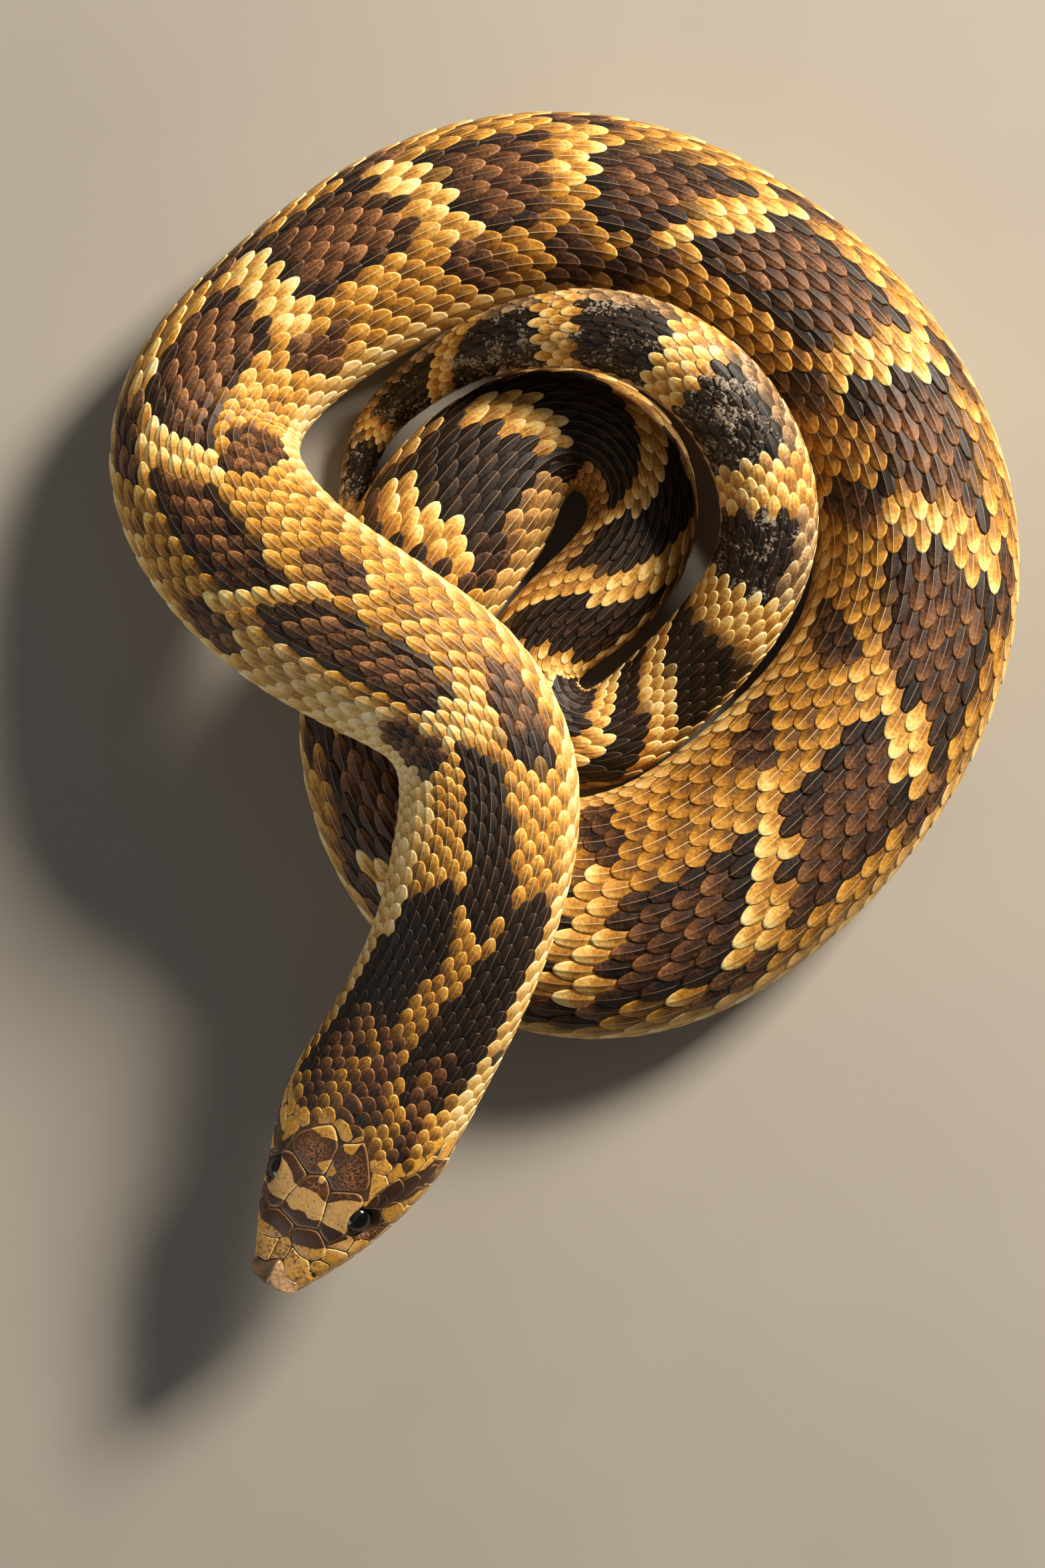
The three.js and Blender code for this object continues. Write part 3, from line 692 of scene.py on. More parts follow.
def keratin(name, shields=False):
    """Horny keratin of the scales: amber to black, satin, mottled, and pale at the free edge, partly from
    wear and partly as painted highlight; the covered front is darker, partly pigment and partly painted
    shade. A keeled scale has one tone over its whole, picked by its marks, and a pale line on its keel
    that is a painted highlight. A shield of the head is glossier, and has no keel, sharp-edged marks
    that cross it, pores, and a painted highlight along its edge."""
    material, tree, shader = new_material(name)
    node = partial(add_node, tree)
    blend = {"kind": "ShaderNodeMix", "out": 2, "data_type": "RGBA"}
    ease = {"kind": "ShaderNodeMapRange", "interpolation_type": "SMOOTHSTEP"}
    product, fused, less, absolute = (  # fused is a product and a sum
        {"kind": "ShaderNodeMath", "operation": word}
        for word in ("MULTIPLY", "MULTIPLY_ADD", "SUBTRACT", "ABSOLUTE"))
    marks, tones = (node("ShaderNodeVertexColor", layer_name=layer) for layer in ("marks", "tones"))
    dark, bar, belly, brown, late, chance = (
        node("ShaderNodeSeparateColor", channel, Color=layer)
        for layer in (marks, tones) for channel in ("Red", "Green", "Blue"))
    # Place on the scale: along from its front edge to its tip, over from side to side.
    lie = node("ShaderNodeUVMap", uv_map="lie")
    along, over = (node("ShaderNodeSeparateXYZ", axis, Vector=lie) for axis in "XY")
    from_keel = node(**absolute, _0=node(**less, _0=over, _1=0.5))
    radius = node("ShaderNodeVectorMath", "Value", operation="DISTANCE", _0=lie, _1=(0.5, 0.5, 0.0))
    radius2 = node(**product, _0=radius, _1=radius)
    # Rim: paler round each plate's edge; on keeled scales partly wear and partly painted highlight, on
    # shields a painted highlight.
    rim = node(**ease, Value=radius2, From_Min=0.17, From_Max=0.24)
    # Grains of pigment 0.5 mm across, clouds of 3 mm, and the shields' rusty speckle of 0.3 mm.
    place = node("ShaderNodeTexCoord", "Object")
    grains, clouds, fine = (
        node("ShaderNodeTexNoise", Vector=place, Scale=scale, Detail=2.0)
        for scale in (1900.0, 330.0, 3000.0))
    # Weighted sums of the shares above.
    sums = []
    for terms in (((chance, 0.6), (clouds, 0.4)), ((grains, 0.6), (clouds, 0.4)),
                  ((grains, 0.5), (clouds, 0.5)), ((grains, 0.7), (clouds, 0.7))):
        total = 0.0
        for share, weight in terms:
            total = node(**fused, _0=share, _1=weight, _2=total)
        sums.append(total)
    vary, speckled, flecked, mottled = sums

    if shields:
        speckle = node(**ease, Value=speckled, From_Min=0.46, From_Max=0.62)
        grainy = node(**fused, _0=grains, _1=0.12, _2=dark)
        dark = node(**ease, Value=grainy, From_Min=0.52, From_Max=0.6)
        rusty = node(**ease, Value=fine, From_Min=0.45, From_Max=0.56)
        pores = node("ShaderNodeTexVoronoi", Vector=place, Scale=950.0)
        pores = node(**ease, Value=pores, From_Min=0.17, From_Max=0.1)
        # Each tone: the share that blends its two colours, how far it does, and the colours.
        amber, smoky, pale, cream, black, umber, edge = (
            node(**blend, Factor=node(**product, _0=share, _1=reach), _6=linear(low), _7=linear(high))
            for share, reach, low, high in (
                (vary, 1.0, "#cf922c", "#efb652"), (speckle, 1.0, "#d9a450", "#865320"),
                (speckle, 0.55, "#dcae68", "#b57f3a"), (speckle, 0.4, "#f0d594", "#cc9740"),
                (vary, 0.6, "#2e180b", "#633d20"), (rusty, 1.0, "#48240f", "#b8763a"),
                (dark, 1.0, "#fbe2a6", "#b3875a")))
        black = node(**blend, Factor=brown, _6=black, _7=umber)
        layers = (
            # On shields the rim layer is a painted highlight along each plate's edge.
            (speckle, 0.6, linear("#94561a")), (late, 1.0, smoky), (belly, 1.0, cream), (bar, 1.0, pale),
            (dark, 1.0, black), (rim, 0.55, edge), (pores, 0.75, linear("#33200f")))
    else:
        # Pigment gathers along the middle. The covered front is darker, partly pigment and partly painted
        # shade under the scale that lies over it; the rear edge and rim are paler, partly wear and partly
        # painted highlight.
        tip = node(**ease, Value=along, From_Min=0.3, From_Max=0.98)
        smudge = node(**ease, Value=radius2, From_Min=0.1, From_Max=0.0)
        mottle = node(**less, _0=mottled, _1=0.7)
        wear_and_painted_light = 0.0
        for share, weight in ((tip, 0.42), (rim, 0.2), (smudge, -0.16), (mottle, 1.0), (chance, 0.55)):
            wear_and_painted_light = node(**fused, _0=share, _1=weight, _2=wear_and_painted_light)
        amber, bronze, pale, cream, black, umber = (
            node("ShaderNodeValToRGB", Fac=wear_and_painted_light, stops=stops) for stops in (
                ((0.05, "#5a3814"), (0.35, "#91611f"), (0.62, "#bb842f"), (0.82, "#d9a650"),
                 (1.0, "#f2d28a")),
                ((0.1, "#4d3d2d"), (0.5, "#8f7557"), (0.95, "#d0b690")),
                ((0.0, "#8a5a20"), (0.3, "#b98335"), (0.5, "#d8ac58"), (0.7, "#ebcb80"),
                 (0.95, "#f6e3ae")),
                ((0.0, "#b07c34"), (0.4, "#dcb467"), (0.9, "#f3dfae")),
                ((0.0, "#0a0604"), (1.0, "#2b1b10")),
                ((0.1, "#28150b"), (0.45, "#57361f"), (0.7, "#754c2b"), (0.95, "#a5744a"))))
        browned = node(**fused, _0=mottle, _1=0.6, _2=brown)
        browned = node(**ease, Value=browned, From_Min=0.1, From_Max=0.8)
        black = node(**blend, Factor=browned, _6=black, _7=umber)
        # Pale keel line: a painted highlight along the ridge of each keel.
        keel = node("ShaderNodeVertexColor", "Alpha", layer_name="tones")
        pale_flecks = 1.0
        for value, low, high in ((from_keel, 0.026, 0.01), (along, 0.2, 0.4)):
            keel = node(**product, _0=keel, _1=node(**ease, Value=value, From_Min=low, From_Max=high))
        # Pale flecks over the scales of the tail.
        for value, low, high in ((flecked, 0.54, 0.62), (late, 0.5, 1.0)):
            pale_flecks = node(**product, _0=pale_flecks, _1=node(**ease, Value=value, From_Min=low, From_Max=high))
        keel_highlight_tone = node(**blend, Factor=dark, _6=linear("#f4dca2"), _7=linear("#a9825a"))
        layers = ((late, 0.75, bronze), (belly, 1.0, cream), (bar, 1.0, pale), (dark, 1.0, black),
                  (keel, 0.55, keel_highlight_tone), (pale_flecks, 0.4, linear("#c9baa2")))
    # Over the amber ground, each layer: its share, how far it covers, and its tone.
    colour = amber
    for share, reach, tone in layers:
        colour = node(**blend, Factor=node(**product, _0=share, _1=reach), _6=colour, _7=tone)
    tree.links.new(colour, shader.inputs["Base Color"])
    smoothest, roughest = (0.28, 0.46) if shields else (0.4, 0.66)
    sheen = node("ShaderNodeMapRange", Value=grains, To_Min=smoothest, To_Max=roughest)
    tree.links.new(sheen, shader.inputs["Roughness"])
    bump = node("ShaderNodeBump", Height=grains, Strength=0.25, Distance=0.00012)
    tree.links.new(bump, shader.inputs["Normal"])
    shader.inputs["IOR"].default_value = 1.46 if shields else 1.36
    return material


random = np.random.default_rng(7)
keeled_keratin = keratin("keeled_keratin")
scale_lengths = [  # name, first and last run, rows, and the solids' slot
    ("scales_neck", -12.0, 66.0, 25, "skin_body"), ("scales_trunk_1", 66.0, 245.0, 25, "skin_body"),
    ("scales_trunk_2", 245.0, 422.0, 25, "skin_body"), ("scales_trunk_3", 422.0, 546.0, 21, "skin_body"),
    ("scales_trunk_4", 546.0, tail_start, 17, "skin_body"),
    ("scales_tail_1", tail_start, 672.0, 15, "skin_tail"),
    ("scales_tail_2", 672.0, 706.0, 11, "skin_tail"),
    ("scales_tail_3", 706.0, body_end - 1.0, 7, "skin_tail"),
]
for name, start, end, rows, slot in scale_lengths:
    scales = dorsal_scales(name, start, end, rows, random)
    scales.data.materials.append(keeled_keratin)
    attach(scales, "root")

# --- Belly plates --------------------------------------------------------------------------------
# One broad smooth scute for each pitch crosses the belly from flank to flank, overlapping like
# shingles; under the tail they are split in two. They are cream, polished by the ground.


plate_length = 0.62  # half of a scute's length, in pitches
plate_tuck = 0.012   # of the half girth, that each end reaches under the last scales


def belly_plates(name, start, end, halves, random):
    """Scutes between two runs. Across, a scute goes round under the body from the last row on the
    left to the last on the right; girths over 1 have passed the bottom."""
    first, last = np.interp([start, end], count_run, count_of_run)
    pattern = scale_pattern(
        np.array([-1, -0.4, 0.3, 0.85, 1]), np.linspace(-1, 1, 15 if halves == 1 else 9))
    px, py, kind, _, _, patch, below = pattern
    corner_ease = 0.30
    long_place = px / np.sqrt(1 - corner_ease * py**2)
    count = np.arange(math.ceil(first), math.ceil(last))
    places = np.repeat(count, halves) + 0.25
    half = np.tile(np.arange(halves), len(count))
    root_run = np.interp(places, count_of_run, count_run)
    x = long_place[None, :] * plate_length
    vertex_run = np.interp(places[:, None] + x, count_of_run, count_run)
    left_edge = dorsal_share + back_line(vertex_run) - plate_tuck
    right_edge = 2 - dorsal_share + back_line(vertex_run) + plate_tuck
    share = (py[None, :] + 1) / 2
    share = (share + half[:, None]) / halves
    girth = left_edge + (right_edge - left_edge) * share
    past = girth > 1
    turn = np.where(past, turn_of(girth - 2) + 2 * math.pi, turn_of(girth))
    size = np.interp(root_run, pitch_run, pitch_mm) / full_pitch
    height = (-0.05 + 0.36 * (px + 1) / 2) + 0.05 * (1 - py**2)
    height = np.where(kind > 0, foot_level, height[None, :] * (size**0.7)[:, None])
    points, _ = surface(vertex_run, turn, height - coat_depth)
    lowest = np.maximum(coat_depth - height - 0.25, 0.02)
    points[..., 2] = np.maximum(points[..., 2], lowest)
    zeros, late = np.zeros(len(places)), smooth(late_start, late_end, root_run)
    marks = (0.12 * random.random(len(places)), zeros, zeros + 1)
    tones = (zeros, 0.5 * late, random.random(len(places)))
    u, v = bake_place(root_run[:, None], np.zeros((1, 1)))
    u = u + patch[None, :, 0] * 0.40 * (size * full_pitch * 0.98 / (body_end + head_length))[:, None]
    round_place = (patch[None, :, 1] + 2 * half[:, None] - (halves - 1)) / halves
    v = 0.01 + 0.48 * (0.5 + 0.23 * round_place) + 0.49 * below
    return coat_piece(name, points, pattern, np.stack([u, v], -1), marks, tones)


for name, start, end, halves, slot in [
    ("belly_plates", 0.0, tail_start, 1, "skin_body"),
    ("tail_plates", tail_start, body_end - 2.0, 2, "skin_tail"),
]:
    plates = belly_plates(name, start, end, halves, random)
    plates.data.materials.append(keeled_keratin)
    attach(plates, "root")

# --- Head plates ---------------------------------------------------------------------------------
# Smooth horny shields, fitted edge to edge with fine grooves between: a hognose snake's pairs round
# one frontal on top, lip plates along the mouth, beads round each eye, small plates on the chin.

station_step = 0.25
head_stations = np.arange(-14.0, head_length, station_step)  # ahead of the jaw corner
chart_turn = np.linspace(0, math.pi, 361)
chart_across, chart_up = section(-head_stations[:, None], chart_turn[None, :])
chart_girth = np.hypot(np.diff(chart_across, axis=1), np.diff(chart_up, axis=1))
chart_girth = np.concatenate([np.zeros((len(head_stations), 1)), np.cumsum(chart_girth, axis=1)], 1)


def read_chart(table, known, ahead, value):
    """For points ahead of the jaw corner, what a table says where a known table has a value: read
    by a straight line in each of the two nearest stations, then between the two. The stations'
    rows are laid end to end, a metre apart, so that one reading serves all points."""
    station = np.clip((ahead - head_stations[0]) / station_step, 0, len(head_stations) - 1.001)
    low = station.astype(int)
    apart = 1000.0 * np.arange(len(head_stations))
    rows_in_line = (known + apart[:, None]).ravel()
    near, far = (
        np.interp(np.clip(value, known[k, 0], known[k, -1]) + apart[k], rows_in_line, table.ravel())
        for k in (low, low + 1))
    return near + (far - near) * (station - low)


turn_table = np.broadcast_to(chart_turn, chart_girth.shape)


def from_top(points):
    """Chart place (girth, ahead), both in mm, of points given as mm to the left and mm ahead."""
    out, ahead = np.asarray(points, float).T
    top_half = chart_turn <= math.pi / 2
    girth = read_chart(chart_girth[:, top_half], chart_across[:, top_half], ahead, np.abs(out))
    return np.stack([np.sign(out) * girth, ahead], -1)


def from_side(side, points):
    """Chart place of points on one side of the head, given as mm over the axis and mm ahead."""
    up, ahead = np.asarray(points, float).T
    girth = read_chart(chart_girth, -chart_up, ahead, -up)
    return np.stack([side * girth, ahead], -1)


def round_outline(corners, count):
    """Cuts each corner of an outline back by an eighth of its sides, twice, and spaces points along
    it evenly."""
    for _ in range(2):
        following = np.roll(corners, -1, axis=0)
        corners = np.stack([corners + (following - corners) / 8, following - (following - corners) / 8], 1)
        corners = corners.reshape(-1, 2)
    closed = np.vstack([corners, corners[:1]])
    length = np.r_[0, np.cumsum(np.linalg.norm(np.diff(closed, axis=0), axis=1))]
    wanted = np.linspace(0, length[-1], count, endpoint=False)
    return np.stack([np.interp(wanted, length, closed[:, k]) for k in (0, 1)], -1)


def inside_outline(points, corners):
    """How far points lie inside an outline, in mm, and outside as a negative: the distance to the
    nearest side, with its sign from a count of the sides crossed."""
    start, finish = corners, np.roll(corners, -1, axis=0)
    side = finish - start
    away = points[:, None, :] - start
    share = np.clip((away * side).sum(-1) / (side**2).sum(-1), 0, 1)
    distance = np.linalg.norm(away - share[..., None] * side, axis=-1).min(1)
    spans = (start[:, 1] > points[:, None, 1]) != (finish[:, 1] > points[:, None, 1])
    rise = np.where(np.abs(side[:, 1]) < 1e-9, 1e-9, side[:, 1])
    cross_at = start[:, 0] + (points[:, None, 1] - start[:, 1]) * side[:, 0] / rise
    inner = (spans & (points[:, None, 0] < cross_at)).sum(1) % 2 == 1
    return np.where(inner, distance, -distance)


# Outlines seen from above, mm to the left and mm ahead of the jaw corner.
top_plates = {
    "azygous": [(-1.7, 31.0), (-0.9, 30.5), (0.3, 30.0), (0.6, 28.6), (0.5, 27.2), (-0.1, 26.6),
                (-0.5, 25.7), (-1.2, 26.7), (-1.7, 27.4), (-1.8, 29.2)],
    "internasal_right": [(-1.8, 31.2), (-2.4, 31.8), (-3.9, 31.8), (-5.2, 30.4), (-5.8, 28.9),
                         (-4.4, 28.4), (-3.0, 28.1), (-1.8, 27.4), (-1.9, 29.3)],
    "internasal_left": [(0.4, 30.1), (1.0, 30.9), (1.6, 31.9), (2.4, 32.2), (3.9, 31.9), (5.0, 30.2),
                        (4.9, 29.0), (4.2, 27.9), (2.4, 28.0), (0.7, 27.4), (0.7, 28.8)],
    "prefrontal_right": [(-1.7, 27.3), (-3.0, 28.0), (-4.4, 28.3), (-5.9, 28.7), (-6.7, 27.4),
                         (-7.2, 26.0), (-6.3, 24.7), (-5.6, 24.3), (-4.1, 23.5), (-2.2, 23.8),
                         (-0.4, 24.4), (-0.6, 25.7), (-1.2, 26.6)],
    "prefrontal_left": [(0.6, 27.2), (2.4, 27.9), (4.2, 27.8), (5.2, 27.2), (6.2, 25.9), (5.7, 24.7),
                        (4.6, 23.7), (3.4, 23.1), (2.2, 23.4), (0.9, 24.0), (-0.2, 24.5), (-0.4, 25.6),
                        (0.2, 26.6)],
    "frontal": [(-3.9, 23.4), (-2.1, 23.7), (-0.2, 24.3), (0.9, 23.9), (2.2, 23.3), (3.3, 22.9),
                (3.1, 21.0), (2.8, 19.6), (2.5, 18.2), (2.2, 16.4), (1.2, 15.3), (0.3, 14.8),
                (-0.8, 15.3), (-2.1, 16.1), (-2.6, 17.4), (-3.0, 18.8), (-3.6, 20.9)],
    "supraocular_right": [(-4.1, 23.3), (-5.5, 24.1), (-6.9, 23.7), (-7.8, 22.6), (-8.2, 20.8),
                          (-8.3, 18.6), (-8.2, 16.3), (-7.8, 14.8), (-6.2, 14.3), (-4.2, 15.2),
                          (-2.3, 16.2), (-2.7, 17.4), (-3.1, 18.8), (-3.8, 21.0)],
    "supraocular_left": [(3.4, 22.9), (4.6, 23.5), (5.8, 23.9), (6.8, 22.6), (7.5, 20.6), (7.8, 18.6),
                         (7.9, 16.4), (7.7, 14.7), (6.5, 14.2), (4.3, 15.3), (2.4, 16.4), (2.7, 18.0),
                         (3.0, 19.6), (3.2, 21.2)],
    "parietal_right": [(-2.1, 15.9), (-0.8, 15.2), (0.2, 14.6), (0.3, 12.0), (0.3, 9.6), (-0.3, 8.5),
                       (-1.4, 7.2), (-2.3, 6.9), (-4.1, 8.3), (-5.4, 9.6), (-6.5, 10.7), (-7.2, 12.6),
                       (-6.4, 14.1), (-4.3, 15.0)],
    "parietal_left": [(0.4, 14.7), (1.2, 15.1), (2.4, 16.2), (4.3, 15.1), (6.4, 14.0), (7.4, 13.2),
                      (7.4, 11.8), (6.7, 10.4), (5.9, 9.0), (5.0, 7.6), (3.8, 6.3), (2.8, 7.2),
                      (1.6, 8.0), (0.7, 8.6), (0.5, 10.0), (0.5, 12.0)],
    "nuchal_right": [(-4.3, 8.1), (-2.4, 6.7), (-2.1, 5.4), (-3.4, 4.4), (-4.9, 5.4), (-5.2, 7.0)],
    "nuchal_middle": [(-2.2, 6.7), (-1.3, 7.0), (0.3, 8.2), (1.4, 7.9), (1.9, 6.6), (0.3, 5.2),
        (-1.6, 4.9)],
    "nuchal_left": [(1.6, 7.8), (2.9, 6.9), (3.5, 6.2), (3.0, 4.2), (1.8, 5.0), (2.1, 6.5)],
}
# Plates of each side, as mm round from the middle line and mm ahead. Each runs a little way under
# the shields and lip plates beside it.
side_plates = {
    "nasal_front": [(3.7, 32.4), (4.4, 33.5), (5.7, 32.0), (7.3, 30.4), (6.5, 29.35), (4.7, 29.35),
        (4.9, 30.4)],
    "nasal_rear": [(4.7, 29.2), (6.5, 29.2), (7.4, 30.2), (9.0, 28.2), (7.8, 26.85), (6.0, 26.9),
        (4.8, 27.6)],
    "loreal": [(5.9, 26.8), (7.9, 26.7), (9.1, 28.0), (11.4, 25.0), (9.8, 23.8), (7.4, 24.1),
        (5.8, 24.7), (6.0, 25.9)],
    "preocular_upper": [(5.6, 24.5), (7.4, 24.0), (9.4, 23.7), (9.6, 21.4), (8.4, 20.8),
        (7.0, 21.8), (6.2, 23.2)],
    "preocular_lower": [(9.5, 23.8), (9.9, 23.7), (11.6, 24.9), (13.4, 22.6), (12.6, 20.4),
        (11.2, 20.4), (9.8, 21.3)],
    "postocular_upper": [(8.0, 15.8), (9.7, 15.9), (10.2, 14.2), (9.5, 12.7), (8.7, 13.4), (7.8, 14.4)],
    "postocular_lower": [(9.8, 15.8), (11.5, 15.6), (11.6, 13.9), (11.0, 12.4), (9.7, 12.6),
        (10.3, 14.2)],
    "temporal_dark_1": [(9.4, 12.5), (11.1, 12.5), (11.5, 13.9), (12.7, 12.8), (13.4, 10.9),
        (12.6, 9.2), (11.3, 8.5), (10.3, 10.3)],
    "temporal_dark_2": [(12.9, 12.5), (14.3, 10.9), (15.4, 8.8), (15.1, 6.9), (13.6, 6.4),
        (12.0, 8.3), (12.8, 9.2), (13.6, 10.9)],
    "temporal_dark_3": [(13.7, 6.3), (15.1, 6.8), (16.0, 4.6), (16.2, 2.5), (15.0, 2.5), (14.1, 4.0)],
    "temporal_low_1": [(11.7, 15.8), (13.4, 17.0), (15.6, 16.0), (15.8, 13.4), (13.9, 12.5),
        (12.7, 12.9), (11.7, 14.0)],
    "temporal_low_2": [(13.8, 12.4), (15.6, 13.3), (16.8, 10.6), (16.8, 8.4), (15.5, 8.8),
        (14.5, 10.9)],
    "temporal_low_3": [(15.6, 8.7), (16.9, 8.3), (17.8, 6.2), (18.2, 3.9), (16.2, 3.9), (15.2, 5.6),
        (15.2, 7.0)],
    "temporal_high_1": [(7.6, 14.6), (8.8, 13.4), (9.4, 12.6), (10.3, 10.4), (9.3, 9.3), (7.0, 9.9),
        (7.3, 11.8), (7.3, 13.2)],
    "temporal_high_2": [(6.8, 10.2), (9.2, 9.3), (9.7, 7.6), (8.2, 6.5), (6.6, 7.2), (5.7, 9.0)],
    "temporal_high_3": [(9.3, 9.2), (10.4, 10.2), (11.3, 8.4), (12.1, 8.0), (11.6, 6.2),
        (10.0, 6.0), (9.8, 7.6)],
    "temporal_high_4": [(12.2, 8.0), (13.5, 6.4), (14.1, 4.0), (13.1, 2.9), (11.7, 4.2), (11.7, 6.2)],
    "temporal_high_5": [(13.2, 2.9), (14.2, 3.9), (15.0, 2.5), (15.9, 0.7), (15.2, -1.2),
        (13.6, -0.6), (12.8, 1.2)],
    "jaw_corner": [(16.3, 3.8), (18.2, 3.8), (20.0, 2.2), (20.4, 0.0), (18.8, -1.9), (16.8, -1.4),
        (15.9, 0.6), (16.2, 2.4)],
}


# How high plates lie, in mm: a lower one goes under a higher one where they overlap.
top_level, side_level, upper_lip_level, lower_lip_level = 0.0, -0.07, 0.02, 0.0
ocular_level, chin_level = -0.02, -0.04


def head_plate_outlines():
    """Name, chart outline and level of every plate: the top ones as drawn, the side ones for both
    sides, the lip plates between the mouth line and their own other edge, rings of small plates
    round the eyes, and rows of chin plates."""
    plates = [(name, from_top(points), top_level) for name, points in top_plates.items()]
    for side, word in ((1, "left"), (-1, "right")):
        for name, points in side_plates.items():
            plates.append((f"{name}_{word}", np.array([(side * x, y) for x, y in points]), side_level))
        lip_top = [(33.6, 4.2), (30.5, 6.8), (27.0, 9.3), (23.4, 11.9), (20.0, 13.4), (16.4, 14.9),
                   (12.4, 15.9), (7.6, 17.0), (2.6, 18.2)]
        jaw_low = [(32.0, -3.0), (28.6, -3.9), (25.0, -4.5), (21.6, -4.9), (18.2, -5.2), (14.6, -5.5),
                   (10.6, -5.9), (6.0, -6.3), (0.6, -6.6)]
        for n in range(8):
            mouth = [(np.interp(ahead, head_form[:, 0], head_form[:, 4]) + 0.1, ahead)
                     for ahead in (lip_top[n][0] + 0.5, lip_top[n + 1][0] + 0.5)]
            near, far = from_side(side, mouth)
            (a, b), (c, d) = lip_top[n], lip_top[n + 1]
            plates.append((f"upper_lip_{n + 1}_{word}", np.array([
                (side * b, a), (side * ((b + d) / 2 - 0.1), (a + c) / 2), (side * d, c), far, near,
            ]), upper_lip_level))
            mouth = [(np.interp(row[0], head_form[:, 0], head_form[:, 4]) - 0.1, row[0] + 0.6)
                     for row in (jaw_low[n], jaw_low[n + 1])]
            low = [(row[1], row[0]) for row in (jaw_low[n + 1], jaw_low[n])]
            plates.append((f"lower_lip_{n + 1}_{word}", from_side(side, mouth + low), lower_lip_level))
        ring = np.radians(np.linspace(-218, 42, 12))
        for n in range(11):
            angles = np.array([ring[n], (ring[n] + ring[n + 1]) / 2, ring[n + 1]])
            outer = 3.25 + 0.9 * np.clip(-np.sin(angles), 0, 1)
            places = [(eye_up + 0.75 + 2.0 * math.sin(t), eye_ahead + 0.1 + 2.05 * math.cos(t))
                      for t in angles]
            places += [(eye_up + 0.55 + r * math.sin(t), eye_ahead + 0.1 + r * math.cos(t))
                       for r, t in zip(outer[::-1], angles[::-1])]
            plates.append((f"ocular_{n + 1}_{word}", from_side(side, places), ocular_level))
    for n in range(9):
        ahead = 30.0 - 3.6 * n
        for m in range(-2, 3):
            half = 0.5 * (n % 2)
            place = (m + half) * 3.4
            reach = np.interp(ahead, [0, 12, 24, 32], [12.0, 9.5, 6.5, 3.0])
            if abs(place) > reach - 1.0:
                continue
            girth = read_chart(chart_girth, turn_table, np.array([ahead]), np.array([math.pi]))[0]
            outline = [(place + 1.8 * math.cos(t), ahead + 2.2 * math.sin(t))
                       for t in np.arange(0.4, 6.6, 1.047)]
            plates.append((f"chin_{n}_{m + 2}", np.array([(girth - x, y) for x, y in outline]), chin_level))
    return plates


